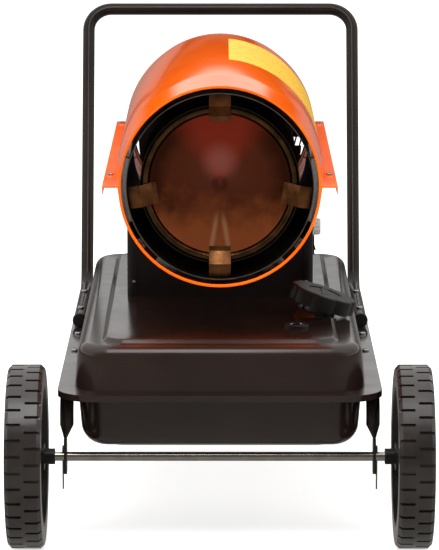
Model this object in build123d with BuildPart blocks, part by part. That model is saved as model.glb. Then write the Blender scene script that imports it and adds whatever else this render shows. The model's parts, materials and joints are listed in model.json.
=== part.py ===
from build123d import *
from math import cos, radians, sin
import os

# Forced air heater on two wheels: a fuel tank carried by a bent tube frame, a control
# box on the tank, and a round burner drum on the box. Millimetres, +X to the right seen
# from the hot-air outlet, +Y from the outlet towards the push handle, +Z up. The origin
# is on the floor, in the middle of the whole heater.

os.makedirs("parts", exist_ok=True)

# ---------------------------------------------------------------- driving dimensions
SHEET = 1.2                 # steel sheet of the tank, the box and the drum
TUBE_RADIUS = 9.5           # bent tube of the frame and of the handle
TUBE_WALL = 1.5
RUNNING_FIT = 0.05          # radial clearance of what turns on a shaft
LOOSE_FIT = 0.3             # clearance of what passes a hole

# wheels and axle
TYRE_RADIUS = 127.0
TYRE_WIDTH = 49.0
TYRE_BEAD_RADIUS = 97.0
SHOULDER = 5.0
GROOVES_PER_ROW = 36
GROOVE_WIDTH = 4.2
GROOVE_DEPTH = 4.5
TREAD_RIB = 5.0             # plain rib between the two rows of grooves
WHEEL_INNER_X = 242.0
RIM_WALL = 4.5
RIM_WEB = 5.0
RIM_SPOKE_DEPTH = 26.0
RIM_WINDOWS = 6
RIM_WINDOW_RADIUS = 14.0
HUB_RADIUS = 19.0
HUB_RECESS = 7.0            # outer end of the hub below the face of the tyre
AXLE_RADIUS = 6.35
BUSH_RADIUS = 11.0
BUSH_LENGTH = 14.0
CAP_RADIUS = 12.0
CAP_LENGTH = 6.0
PIN_WIRE_RADIUS = 1.2
PIN_EYE_RADIUS = 3.4
PIN_REACH = 46.0            # leg of the split pin below the axle

# tank
TANK_HALF_WIDTH = 196.0
TANK_FRONT = -27.0          # front wall, counted from the axle towards the handle
TANK_LENGTH = 768.0
UPPER_GROWTH = 4.5         # upper pan beyond the lower one, all round
TANK_DRAFT = 5.0            # slope of the pans' walls, in degrees
TANK_CORNER = 44.0
FLANGE_CORNER = 50.0        # plan radius of the flange's outer edge
TANK_TOP_HEIGHT = 62.0
TANK_BOTTOM_DEPTH = 80.0
TANK_TOP_FILLET = 17.0
TANK_BOTTOM_FILLET = 30.0
PANEL_MARGIN = 38.0         # from the tank's wall to the raised panel
PANEL_FRONT_MARGIN = 27.0
PANEL_RISE = 6.0
PANEL_SOFTNESS = 0.6        # blend radius at the panel's foot and edge, per rise
BOTTOM_PANEL_RISE = 3.0
FLANGE_WIDTH = 27.0
FLANGE_TOP = 224.0          # height of the welded flange above the floor
LIP_DROP = 9.0
FILLER_X = 137.0
FILLER_STATION = 186.0
FILLER_RADIUS = 24.0
FILLER_HEIGHT = 29.5
FILLER_TILT = 18.0
CAP_RIM_RADIUS = 48.0
CAP_HEIGHT = 21.0
BOSS_RADIUS = 38.0          # pressed boss round the filler neck
BOSS_HEIGHT = 9.0
GAUGE_X = 107.0
GAUGE_STATION = 90.0
GAUGE_RADIUS = 17.0
DRAIN_STATION = 560.0
PIPE_RADIUS = 4.0
PANEL_TAPER = 45.0
STRAINER_DEPTH = 40.0
CAP_LOBES = 8
CAP_LOBE_RADIUS = 24.0
CAP_CROWN = 5.0
CAP_EDGE = 3.0
GAUGE_DEPTH = 22.0

# frame and handle
RAIL_X = 211.0
FRAME_BEND = 42.0
FRONT_BEND = 32.0
LEG_FLAT_THICKNESS = 4.0
LEG_FLAT_WIDTH = 26.0
LEG_FLAT_BELOW = 25.0       # tip of the flattened leg below the axle
LEG_FLAT_ABOVE = 26.0
REAR_LEG_STATION = 684.0
FOOT_STATION = 706.0
FOOT_HALF_WIDTH = 195.0
FRAME_SCREW_FRONT = 256.0
FRAME_SCREW_REAR = 383.0
HANDLE_SCREW_FRONT = 489.0
HANDLE_SCREW_REAR = 628.0
SCREW_RADIUS = 3.0
SCREW_HEAD_RADIUS = 5.5
SCREW_HEAD_HEIGHT = 3.2
NUT_RADIUS = 5.8
NUT_HEIGHT = 5.0
HANDLE_FRONT = 438.0
HANDLE_BEND_STATION = 724.0
HANDLE_TOP_STATION = 965.0
HANDLE_TOP = 650.0          # height of the middle of the push bar
HANDLE_FLARE = 3.5
HANDLE_LOW_BEND = 50.0
HANDLE_TOP_BEND = 37.0
END_CAP_RADIUS = 10.7
END_CAP_LENGTH = 6.0
END_CAP_PLUG = 14.0

# drum
DRUM_RISE = 214.0             # drum's axis above the tank's raised panel
DRUM_FRONT = -20.0
DRUM_LENGTH = 670.0
DRUM_RADIUS = 143.5
NOSE_RADIUS = 138.0
FRONT_NOSE = 105.0          # length of the tapered front end
REAR_NOSE = 70.0
LIP_BEAD = 3.6              # rolled edge round the outlet
DRUM_FLANGE_HALF_WIDTH = 160.0
DRUM_LIP_DROP = 11.0
SHELL_SCREW_FRONT = 105.0     # behind the outlet's edge
SHELL_SCREW_REAR = 22.0       # in front of the drum's rear edge
SHELL_SCREW_RADIUS = 2.4

# burner
SHIELD_RADIUS = 128.0
SHIELD_START = 2.0
SPACER_STATION = 22.0
SPACER_WIDTH = 22.0
CHAMBER_RADIUS = 109.0
CHAMBER_EDGE = 6.0
CHAMBER_START = 27.0        # behind the outlet's edge
RING_INNER_RADIUS = 97.5
RING_DEPTH = 14.0
DISC_RADIUS = 96.0
DISC_START = 31.0
DISC_DISH = 9.0
STRAP_WIDTH = 30.0
STRAP_THICKNESS = 1.6
STRAP_OVERLAP = 4.0
STRAP_ANGLES = (0, 98, 180, 262)
STRAP_STATION = 14.0
STRAP_TAB = 20.0
NOZZLE_RADIUS = 7.0
AIR_LINE_X = 30.0
BURNER_RADIUS = 42.0
BURNER_LENGTH = 48.0
FAN_RADIUS = 122.0
FAN_BLADES = 5
FAN_HUB_RADIUS = 20.0
FAN_ROOT_CHORD = 34.0
FAN_TIP_CHORD = 66.0
FAN_ROOT_PITCH = 42.0
FAN_TIP_PITCH = 68.0
FAN_INSET = 215.0           # middle of the fan before the drum's rear edge
FAN_ZONE = 290.0            # free length of the drum behind the shield
CHAMBER_INSET = 6.0         # chamber's back wall before the shield's rear edge
FAN_DEPTH = 26.0
SHAFT_RADIUS = 5.0
MOTOR_RADIUS = 55.0
MOTOR_LENGTH = 92.0
MOTOR_BELL = 12.0
PUMP_RADIUS = 48.0
PUMP_LENGTH = 34.0
FILTER_DEPTH = 16.0
FILTER_SLOTS = 5
FILTER_SLOT_PITCH = 12.0
AIR_LINE_DROP = 9.0
ELECTRODE_RADIUS = 4.0
GUARD_WIRE = 2.6
GUARD_RINGS = 7
GUARD_STEP = 16.0
GUARD_INSET = 8.0
GUARD_SPOKES = 4

# control box
BOX_HALF_WIDTH = 136.0
BOX_INSET = 39.0              # box's rear edge before the drum's rear edge
BOX_LENGTH = 290.0
BOX_BEND = 8.5
BOX_RETURN = 14.0
BOX_SCREW_RADIUS = 2.6
BOX_SCREW_HEIGHT = 22.0
GLAND_RADIUS = 9.0
GLAND_HEIGHT = 26.0
CORD_RADIUS = 4.0
SIDE_TOP_DROP = 54.0        # upper edge of the side panels below the drum's axis
KNOB_RADIUS = 12.5
KNOB_THICKNESS = 9.5
KNOB_GAP = 1.0
KNOB_FLUTES = 12
KNOB_DRAFT = 4.0
KNOB_DROP = 115.0             # below the drum's axis
SPINDLE_RADIUS = 3.0
KNOB_INSET = 31.0             # behind the front of the control box
ROCKER_DROP = 142.0
SWITCH_WIDTH = 15.0
SWITCH_HEIGHT = 22.0
SWITCH_DEPTH = 20.0
ROCKER_PIN_RADIUS = 1.5
ROCKER_CROWN = 6.0
ROCKER_THROW = 16.0
TRANSFORMER_WIDTH = 60.0
TRANSFORMER_LENGTH = 80.0
TRANSFORMER_HEIGHT = 50.0
BOARD_WIDTH = 90.0
BOARD_LENGTH = 120.0

# ---------------------------------------------------------------- derived places
HANDLE_REACH = HANDLE_TOP_STATION + TUBE_RADIUS
AXLE_Y = -(HANDLE_REACH - TYRE_RADIUS) / 2
AXLE_Z = TYRE_RADIUS
WHEEL_MID_X = WHEEL_INNER_X + TYRE_WIDTH / 2
WHEEL_OUTER_X = WHEEL_INNER_X + TYRE_WIDTH
HUB_OUTER_X = WHEEL_OUTER_X - HUB_RECESS

FLANGE_HALF_WIDTH = TANK_HALF_WIDTH + FLANGE_WIDTH
SEAM_Z = FLANGE_TOP - SHEET             # where the two tank halves meet
FLANGE_BOTTOM = SEAM_Z - SHEET
TANK_Y = AXLE_Y + TANK_FRONT + TANK_LENGTH / 2
TANK_TOP = FLANGE_TOP + TANK_TOP_HEIGHT
PANEL_TOP = TANK_TOP + PANEL_RISE
TANK_BOTTOM = SEAM_Z - TANK_BOTTOM_DEPTH
RAIL_Z = FLANGE_BOTTOM - TUBE_RADIUS
HANDLE_Z = FLANGE_TOP + TUBE_RADIUS

DRUM_AXIS_HEIGHT = PANEL_TOP + DRUM_RISE
DRUM_Y = AXLE_Y + DRUM_FRONT            # the outlet's edge
DRUM_END_Y = DRUM_Y + DRUM_LENGTH
DRUM_AXIS = Axis((0, 0, DRUM_AXIS_HEIGHT), (0, 1, 0))
SHIELD_LENGTH = DRUM_LENGTH - FAN_ZONE - SHIELD_START
CHAMBER_END = SHIELD_START + SHIELD_LENGTH - CHAMBER_INSET
CHAMBER_LENGTH = CHAMBER_END - CHAMBER_START
FAN_STATION = DRUM_LENGTH - FAN_INSET
BOX_BOTTOM = PANEL_TOP
BOX_END_Y = DRUM_END_Y - BOX_INSET
BOX_Y = BOX_END_Y - BOX_LENGTH
SIDE_TOP = DRUM_AXIS_HEIGHT - SIDE_TOP_DROP
ROCKER_X = BOX_HALF_WIDTH - 2 * SHEET
NOSE_SLOPE_REAR = (DRUM_RADIUS - NOSE_RADIUS) / REAR_NOSE

SIDES = ((-1, "left"), (1, "right"))


def across(x):
    """Plane with its normal along +X, local x along +Y and local y along +Z."""
    return Plane(origin=(x, 0, 0), x_dir=(0, 1, 0), z_dir=(1, 0, 0))


def facing(y):
    """Plane with its normal along +Y, local x along -X and local y along +Z."""
    return Plane(origin=(0, y, 0), x_dir=(-1, 0, 0), z_dir=(0, 1, 0))


def drum_section(angle=0.0):
    """Radial plane of the drum: local x runs back from the outlet, local y is radius."""
    out = (cos(radians(angle)), 0, sin(radians(angle)))
    return Plane(origin=(0, DRUM_Y, DRUM_AXIS_HEIGHT), x_dir=(0, 1, 0),
                 z_dir=Vector(0, 1, 0).cross(Vector(*out)))


def drum_face(station):
    """Plane square to the drum's axis, station millimetres behind the outlet's edge."""
    return Plane(origin=(0, DRUM_Y + station, DRUM_AXIS_HEIGHT), x_dir=(1, 0, 0),
                 z_dir=(0, 1, 0))


# ---------------------------------------------------------------- wheels
for side, tag in SIDES:
    wheel_axis = Axis((0, AXLE_Y, AXLE_Z), (1, 0, 0))
    half = TYRE_WIDTH / 2
    wheel_section = Plane(origin=(side * WHEEL_MID_X, AXLE_Y, AXLE_Z), x_dir=(side, 0, 0),
                          z_dir=(0, -side, 0))

    # solid rubber tyre with two staggered rows of cross grooves
    with BuildPart() as tyre:
        with BuildSketch(wheel_section):
            with BuildLine():
                Polyline(
                    (-half, TYRE_BEAD_RADIUS),
                    (-half, TYRE_RADIUS - SHOULDER),
                    (-half + SHOULDER, TYRE_RADIUS),
                    (half - SHOULDER, TYRE_RADIUS),
                    (half, TYRE_RADIUS - SHOULDER),
                    (half, TYRE_BEAD_RADIUS),
                    close=True,
                )
            make_face()
        revolve(axis=wheel_axis)
        pitch = 360 / GROOVES_PER_ROW
        for row in (-1, 1):
            rib_edge = Plane(origin=(side * WHEEL_MID_X + row * TREAD_RIB / 2, AXLE_Y, AXLE_Z),
                             x_dir=(0, 1, 0), z_dir=(row, 0, 0))
            with BuildSketch(rib_edge):
                with PolarLocations(TYRE_RADIUS, GROOVES_PER_ROW, start_angle=pitch / 4):
                    Rectangle(2 * GROOVE_DEPTH, GROOVE_WIDTH)
            extrude(amount=half, clean=False, mode=Mode.SUBTRACT)
    tyre.part.label = f"tyre_{tag}"
    export_step(tyre.part, f"parts/tyre_{tag}.step")

    # moulded rim: barrel, web with round windows, spokes and hub with its bore
    with BuildPart() as rim:
        with BuildSketch(wheel_section):
            with BuildLine():
                Polyline(
                    (-half, TYRE_BEAD_RADIUS),
                    (half, TYRE_BEAD_RADIUS),
                    (half, TYRE_BEAD_RADIUS - RIM_WALL),
                    (RIM_WEB / 2, TYRE_BEAD_RADIUS - 2 * RIM_WALL),
                    (RIM_WEB / 2, HUB_RADIUS),
                    (half - HUB_RECESS, HUB_RADIUS),
                    (half - HUB_RECESS, AXLE_RADIUS + RUNNING_FIT),
                    (-half, AXLE_RADIUS + RUNNING_FIT),
                    (-half, HUB_RADIUS),
                    (-RIM_WEB / 2, HUB_RADIUS),
                    (-RIM_WEB / 2, TYRE_BEAD_RADIUS - 2 * RIM_WALL),
                    (-half, TYRE_BEAD_RADIUS - RIM_WALL),
                    close=True,
                )
            make_face()
        revolve(axis=wheel_axis)
        web_middle = (HUB_RADIUS + TYRE_BEAD_RADIUS - 2 * RIM_WALL) / 2
        rib_length = TYRE_BEAD_RADIUS - 2 * RIM_WALL - HUB_RADIUS + RIM_WALL
        spoke_plane = Plane(origin=(side * WHEEL_MID_X, AXLE_Y, AXLE_Z), x_dir=(0, 1, 0),
                            z_dir=(1, 0, 0))
        with BuildSketch(spoke_plane):
            with PolarLocations(web_middle, RIM_WINDOWS):
                Rectangle(rib_length, RIM_WALL)
        extrude(amount=RIM_SPOKE_DEPTH / 2, both=True)
        with BuildSketch(spoke_plane):
            with PolarLocations(web_middle, RIM_WINDOWS, start_angle=180 / RIM_WINDOWS):
                SlotCenterToCenter(RIM_WINDOW_RADIUS, 2 * RIM_WINDOW_RADIUS)
        extrude(amount=half, both=True, mode=Mode.SUBTRACT)
    rim.part.label = f"rim_{tag}"
    export_step(rim.part, f"parts/rim_{tag}.step")

# plain round axle with a cross hole inside each frame leg for its split pin
FLAT_X = RAIL_X + LEG_FLAT_THICKNESS / 2
PIN_X = FLAT_X + LEG_FLAT_THICKNESS / 2 + PIN_WIRE_RADIUS + LOOSE_FIT
PIN_HOLE_RADIUS = 2 * PIN_WIRE_RADIUS + LOOSE_FIT
AXLE_END_X = HUB_OUTER_X + CAP_LENGTH - SHEET
with BuildPart() as axle:
    with BuildSketch(across(-AXLE_END_X)):
        with Locations((AXLE_Y, AXLE_Z)):
            Circle(AXLE_RADIUS)
    extrude(amount=2 * AXLE_END_X)
    chamfer(axle.edges().group_by(Axis.X)[0] + axle.edges().group_by(Axis.X)[-1], length=SHEET)
    with BuildSketch(Plane.XY.offset(AXLE_Z - TYRE_RADIUS)):
        with Locations((-PIN_X, AXLE_Y), (PIN_X, AXLE_Y)):
            Circle(PIN_HOLE_RADIUS)
    extrude(amount=2 * TYRE_RADIUS, mode=Mode.SUBTRACT)
axle.part.label = "axle"
export_step(axle.part, "parts/axle.step")

# spacer bushes between the split pins and the wheels
BUSH_X = WHEEL_INNER_X - BUSH_LENGTH - LOOSE_FIT
with BuildPart() as hub_bushes:
    for side, tag in SIDES:
        with BuildSketch(across(side * BUSH_X)):
            with Locations((AXLE_Y, AXLE_Z)):
                Circle(BUSH_RADIUS)
                Circle(AXLE_RADIUS + RUNNING_FIT, mode=Mode.SUBTRACT)
        extrude(amount=side * BUSH_LENGTH)
hub_bushes.part.label = "hub_bushes"
export_step(hub_bushes.part, "parts/hub_bushes.step")

# push-on caps that keep the wheels on
with BuildPart() as axle_caps:
    for side, tag in SIDES:
        with BuildSketch(across(side * (HUB_OUTER_X + LOOSE_FIT))):
            with Locations((AXLE_Y, AXLE_Z)):
                Circle(CAP_RADIUS)
        extrude(amount=side * CAP_LENGTH)
    fillet(axle_caps.edges().group_by(Axis.X)[0] + axle_caps.edges().group_by(Axis.X)[-1],
           radius=2 * SHEET)
    with BuildSketch(across(-AXLE_END_X)):
        with Locations((AXLE_Y, AXLE_Z)):
            Circle(AXLE_RADIUS)
    extrude(amount=2 * AXLE_END_X, mode=Mode.SUBTRACT)
axle_caps.part.label = "axle_caps"
export_step(axle_caps.part, "parts/axle_caps.step")

# split pins: an eye on top of the axle and two legs that hang down through it
with BuildPart() as split_pins:
    for side, tag in SIDES:
        eye_z = AXLE_Z + AXLE_RADIUS + PIN_EYE_RADIUS + PIN_WIRE_RADIUS
        leg_gap = PIN_WIRE_RADIUS + SHEET / 10
        tip_z = AXLE_Z - PIN_REACH
        pin_plane = across(side * PIN_X)
        with BuildLine(pin_plane) as pin_path:
            left_leg = Line((AXLE_Y - leg_gap, tip_z), (AXLE_Y - leg_gap, AXLE_Z + AXLE_RADIUS))
            eye = ThreePointArc(
                (AXLE_Y - leg_gap, AXLE_Z + AXLE_RADIUS),
                (AXLE_Y, eye_z + PIN_EYE_RADIUS),
                (AXLE_Y + leg_gap, AXLE_Z + AXLE_RADIUS),
            )
            right_leg = Line((AXLE_Y + leg_gap, AXLE_Z + AXLE_RADIUS), (AXLE_Y + leg_gap, tip_z))
        with BuildSketch(Plane(origin=pin_path.line @ 0, z_dir=pin_path.line % 0)):
            Circle(PIN_WIRE_RADIUS)
        sweep(path=pin_path.line, transition=Transition.ROUND)
split_pins.part.label = "split_pins"
export_step(split_pins.part, "parts/split_pins.step")

# ---------------------------------------------------------------- tube frame
FLAT_TOP_Z = AXLE_Z + LEG_FLAT_ABOVE
LEG_START_Z = FLAT_TOP_Z + 2 * TUBE_RADIUS
with BuildPart() as support_frame:
    with BuildLine() as frame_path:
        FilletPolyline(
            (-RAIL_X, AXLE_Y, LEG_START_Z),
            (-RAIL_X, AXLE_Y, RAIL_Z),
            (-RAIL_X, AXLE_Y + REAR_LEG_STATION, RAIL_Z),
            (-FOOT_HALF_WIDTH, AXLE_Y + FOOT_STATION, TUBE_RADIUS),
            (FOOT_HALF_WIDTH, AXLE_Y + FOOT_STATION, TUBE_RADIUS),
            (RAIL_X, AXLE_Y + REAR_LEG_STATION, RAIL_Z),
            (RAIL_X, AXLE_Y, RAIL_Z),
            (RAIL_X, AXLE_Y, LEG_START_Z),
            radius=(FRONT_BEND, *[FRAME_BEND] * 4, FRONT_BEND),
        )
    with BuildSketch(Plane(origin=frame_path.line @ 0, z_dir=frame_path.line % 0)):
        Circle(TUBE_RADIUS)
        Circle(TUBE_RADIUS - TUBE_WALL, mode=Mode.SUBTRACT)
    sweep(path=frame_path.line)
    # each front end is pressed flat against the axle's split pin
    for side, tag in SIDES:
        with BuildSketch(Plane.XY.offset(LEG_START_Z)):
            with Locations((side * RAIL_X, AXLE_Y)):
                Circle(TUBE_RADIUS)
        with BuildSketch(Plane.XY.offset(FLAT_TOP_Z)):
            with Locations((side * FLAT_X, AXLE_Y)):
                Ellipse(LEG_FLAT_THICKNESS / 2, LEG_FLAT_WIDTH / 2)
        loft()
        with BuildSketch(across(side * FLAT_X)):
            with Locations((AXLE_Y, (FLAT_TOP_Z + AXLE_Z) / 2)):
                Rectangle(LEG_FLAT_WIDTH, FLAT_TOP_Z - AXLE_Z)
            with Locations((AXLE_Y, AXLE_Z - LEG_FLAT_BELOW + LEG_FLAT_WIDTH / 2)):
                Circle(LEG_FLAT_WIDTH / 2)
            with Locations((AXLE_Y, AXLE_Z - (LEG_FLAT_BELOW - LEG_FLAT_WIDTH / 2) / 2)):
                Rectangle(LEG_FLAT_WIDTH, LEG_FLAT_BELOW - LEG_FLAT_WIDTH / 2)
        extrude(amount=LEG_FLAT_THICKNESS / 2, both=True)
    with BuildSketch(across(-WHEEL_INNER_X)):
        with Locations((AXLE_Y, AXLE_Z)):
            Circle(AXLE_RADIUS + RUNNING_FIT)
    extrude(amount=2 * WHEEL_INNER_X, mode=Mode.SUBTRACT)
    screw_spots = [(side * RAIL_X, AXLE_Y + station)
                   for side, tag in SIDES
                   for station in (FRAME_SCREW_FRONT, FRAME_SCREW_REAR,
                                   HANDLE_SCREW_FRONT, HANDLE_SCREW_REAR)]
    with BuildSketch(Plane.XY.offset(RAIL_Z - 2 * TUBE_RADIUS)):
        with Locations(*screw_spots):
            Circle(SCREW_RADIUS + LOOSE_FIT)
    extrude(amount=4 * TUBE_RADIUS, mode=Mode.SUBTRACT)
support_frame.part.label = "support_frame"
export_step(support_frame.part, "parts/support_frame.step")

# ---------------------------------------------------------------- push handle
with BuildPart() as handle:
    with BuildLine() as handle_path:
        FilletPolyline(
            (-RAIL_X, AXLE_Y + HANDLE_FRONT, HANDLE_Z),
            (-RAIL_X, AXLE_Y + HANDLE_BEND_STATION, HANDLE_Z),
            (-RAIL_X - HANDLE_FLARE, AXLE_Y + HANDLE_TOP_STATION, HANDLE_TOP),
            (RAIL_X + HANDLE_FLARE, AXLE_Y + HANDLE_TOP_STATION, HANDLE_TOP),
            (RAIL_X, AXLE_Y + HANDLE_BEND_STATION, HANDLE_Z),
            (RAIL_X, AXLE_Y + HANDLE_FRONT, HANDLE_Z),
            radius=(HANDLE_LOW_BEND, HANDLE_TOP_BEND, HANDLE_TOP_BEND, HANDLE_LOW_BEND),
        )
    with BuildSketch(Plane(origin=handle_path.line @ 0, z_dir=handle_path.line % 0)):
        Circle(TUBE_RADIUS)
        Circle(TUBE_RADIUS - TUBE_WALL, mode=Mode.SUBTRACT)
    sweep(path=handle_path.line)
    handle_spots = [(side * RAIL_X, AXLE_Y + station)
                    for side, tag in SIDES
                    for station in (HANDLE_SCREW_FRONT, HANDLE_SCREW_REAR)]
    with BuildSketch(Plane.XY.offset(HANDLE_Z - 2 * TUBE_RADIUS)):
        with Locations(*handle_spots):
            Circle(SCREW_RADIUS + LOOSE_FIT)
    extrude(amount=4 * TUBE_RADIUS, mode=Mode.SUBTRACT)
handle.part.label = "handle"
export_step(handle.part, "parts/handle.step")

# plastic plugs in the front ends of the handle
with BuildPart() as handle_end_caps:
    for side, tag in SIDES:
        with BuildSketch(facing(AXLE_Y + HANDLE_FRONT)):
            with Locations((-side * RAIL_X, HANDLE_Z + END_CAP_RADIUS - TUBE_RADIUS)):
                Circle(END_CAP_RADIUS)
        extrude(amount=-END_CAP_LENGTH)
        with BuildSketch(facing(AXLE_Y + HANDLE_FRONT)):
            with Locations((-side * RAIL_X, HANDLE_Z)):
                Circle(TUBE_RADIUS - TUBE_WALL)
        extrude(amount=END_CAP_PLUG)
    fillet(handle_end_caps.edges().group_by(Axis.Y)[0], radius=END_CAP_LENGTH / 3)
handle_end_caps.part.label = "handle_end_caps"
export_step(handle_end_caps.part, "parts/handle_end_caps.step")


def screw_row(spots, head_z, foot_z, head_radius=SCREW_HEAD_RADIUS, radius=SCREW_RADIUS):
    """Pan-head screws that stand upright: domed head at head_z, shank down to foot_z."""
    with Locations(*[(x, y, head_z) for x, y in spots]):
        Cylinder(head_radius, SCREW_HEAD_HEIGHT, align=(Align.CENTER, Align.CENTER, Align.MIN))
        Cylinder(radius, head_z - foot_z, align=(Align.CENTER, Align.CENTER, Align.MAX))


NUT_FOOT = RAIL_Z - TUBE_RADIUS - NUT_HEIGHT
with BuildPart() as handle_screws:
    screw_row(handle_spots, HANDLE_Z + TUBE_RADIUS, NUT_FOOT)
    fillet(handle_screws.edges().group_by(Axis.Z)[-1], radius=SCREW_HEAD_HEIGHT / 2)
handle_screws.part.label = "handle_screws"
export_step(handle_screws.part, "parts/handle_screws.step")

with BuildPart() as frame_screws:
    frame_spots = [spot for spot in screw_spots if spot not in handle_spots]
    screw_row(frame_spots, FLANGE_TOP, NUT_FOOT)
    fillet(frame_screws.edges().group_by(Axis.Z)[-1], radius=SCREW_HEAD_HEIGHT / 2)
frame_screws.part.label = "frame_screws"
export_step(frame_screws.part, "parts/frame_screws.step")

with BuildPart() as frame_nuts:
    with BuildSketch(Plane.XY.offset(NUT_FOOT)):
        with Locations(*screw_spots):
            RegularPolygon(NUT_RADIUS, 6)
            Circle(SCREW_RADIUS + RUNNING_FIT, mode=Mode.SUBTRACT)
    extrude(amount=NUT_HEIGHT)
frame_nuts.part.label = "frame_nuts"
export_step(frame_nuts.part, "parts/frame_nuts.step")

# ---------------------------------------------------------------- fuel tank
FILLER_Y = AXLE_Y + FILLER_STATION
GAUGE_Y = AXLE_Y + GAUGE_STATION
FILLER_DIRECTION = Vector(sin(radians(FILLER_TILT)), 0, cos(radians(FILLER_TILT)))
FILLER_PLANE = Plane(origin=(FILLER_X, FILLER_Y, TANK_TOP), x_dir=(0, 1, 0),
                     z_dir=FILLER_DIRECTION)
GAUGE_HOLE_RADIUS = GAUGE_RADIUS - 3 * SHEET
PICKUP_Y = DRUM_Y + CHAMBER_END + BURNER_LENGTH / 2


def drawn_pan(start, height, growth, inset, edge_fillet, rise, front_margin):
    """Solid form of one tank half, with rounded walls and a raised panel at its end."""
    width = 2 * (TANK_HALF_WIDTH + growth - inset)
    length = TANK_LENGTH + 2 * (growth - inset)
    up = 1 if height > 0 else -1
    end = start + height - up * inset
    with BuildPart() as pan:
        with BuildSketch(Plane.XY.offset(start)):
            with Locations((0, TANK_Y)):
                RectangleRounded(width, length, TANK_CORNER + growth - inset)
        extrude(amount=end - start, taper=TANK_DRAFT)
        fillet(pan.edges().group_by(Axis.Z)[-1 if up > 0 else 0], radius=edge_fillet - inset)
        with BuildSketch(Plane.XY.offset(end)):
            with Locations((0, TANK_Y + (front_margin - PANEL_MARGIN) / 2)):
                RectangleRounded(width - 2 * PANEL_MARGIN,
                                 length - PANEL_MARGIN - front_margin,
                                 TANK_CORNER - front_margin / 2)
        extrude(amount=up * rise, taper=PANEL_TAPER)
        panel_edges = pan.edges(Select.LAST).group_by(Axis.Z)
        fillet(panel_edges[0] + panel_edges[-1], radius=PANEL_SOFTNESS * rise)
    return pan.part


def filler_boss(inset):
    """Solid form of the pressed boss round the filler, inset by the sheet on the inside."""
    with BuildPart() as boss:
        with BuildSketch(FILLER_PLANE.offset(-BOSS_HEIGHT - inset)):
            Circle(BOSS_RADIUS - inset)
        extrude(amount=2 * BOSS_HEIGHT, taper=PANEL_TAPER / 2)
    return boss.part


def rolled_rim(top, drop, outer, inner):
    """Rounded frame round the tank, its edges counted outwards from the tank's wall."""
    with BuildPart() as rim_part:
        with BuildSketch(Plane.XY.offset(top)):
            with Locations((0, TANK_Y)):
                RectangleRounded(2 * (TANK_HALF_WIDTH + outer), TANK_LENGTH + 2 * outer,
                                 FLANGE_CORNER - FLANGE_WIDTH + outer)
                RectangleRounded(2 * (TANK_HALF_WIDTH + inner), TANK_LENGTH + 2 * inner,
                                 TANK_CORNER + inner if inner < 0
                                 else FLANGE_CORNER - FLANGE_WIDTH + inner,
                                 mode=Mode.SUBTRACT)
        extrude(amount=-drop)
    return rim_part.part


# holes of the screws that hold the tank and the handle on the frame
with BuildPart() as flange_holes:
    with BuildSketch(Plane.XY.offset(FLANGE_BOTTOM - SHEET)):
        with Locations(*screw_spots):
            Circle(SCREW_RADIUS + LOOSE_FIT)
    extrude(amount=4 * SHEET)


upper_form = drawn_pan(SEAM_Z, TANK_TOP - SEAM_Z, UPPER_GROWTH, 0, TANK_TOP_FILLET,
                       PANEL_RISE, PANEL_FRONT_MARGIN)
upper_void = drawn_pan(SEAM_Z, TANK_TOP - SEAM_Z, UPPER_GROWTH, SHEET, TANK_TOP_FILLET,
                       PANEL_RISE, PANEL_FRONT_MARGIN)
with BuildPart() as tank_upper_shell:
    add(upper_form)
    add(upper_void, mode=Mode.SUBTRACT)
    add(filler_boss(SHEET), mode=Mode.SUBTRACT)
    add(rolled_rim(FLANGE_TOP, SHEET, FLANGE_WIDTH, -SHEET))
    add(rolled_rim(FLANGE_TOP, LIP_DROP, FLANGE_WIDTH, FLANGE_WIDTH - SHEET))
    add(flange_holes.part, mode=Mode.SUBTRACT)
    with BuildSketch(FILLER_PLANE.offset(-2 * FILLER_HEIGHT)):
        Circle(FILLER_RADIUS)
    extrude(amount=4 * FILLER_HEIGHT, mode=Mode.SUBTRACT)
    with BuildSketch(Plane.XY.offset(PANEL_TOP - 2 * SHEET)):
        with Locations((GAUGE_X, GAUGE_Y)):
            Circle(GAUGE_HOLE_RADIUS)
        with Locations((0, PICKUP_Y)):
            Circle(PIPE_RADIUS + RUNNING_FIT)
    extrude(amount=4 * SHEET, mode=Mode.SUBTRACT)
tank_upper_shell.part.label = "tank_upper_shell"
export_step(tank_upper_shell.part, "parts/tank_upper_shell.step")

lower_form = drawn_pan(SEAM_Z, TANK_BOTTOM - SEAM_Z, 0, 0, TANK_BOTTOM_FILLET,
                       BOTTOM_PANEL_RISE, PANEL_MARGIN)
lower_void = drawn_pan(SEAM_Z, TANK_BOTTOM - SEAM_Z, 0, SHEET, TANK_BOTTOM_FILLET,
                       BOTTOM_PANEL_RISE, PANEL_MARGIN)
DRAIN_Y = AXLE_Y + DRAIN_STATION
DRAIN_Z = TANK_BOTTOM - BOTTOM_PANEL_RISE
with BuildPart() as tank_lower_shell:
    add(lower_form)
    add(lower_void, mode=Mode.SUBTRACT)
    add(rolled_rim(SEAM_Z, SHEET, FLANGE_WIDTH - SHEET - LOOSE_FIT, -SHEET))
    add(flange_holes.part, mode=Mode.SUBTRACT)
    with BuildSketch(Plane.XY.offset(DRAIN_Z - SHEET)):
        with Locations((0, DRAIN_Y)):
            Circle(SCREW_HEAD_RADIUS + RUNNING_FIT)
    extrude(amount=4 * SHEET, mode=Mode.SUBTRACT)
tank_lower_shell.part.label = "tank_lower_shell"
export_step(tank_lower_shell.part, "parts/tank_lower_shell.step")

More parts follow.
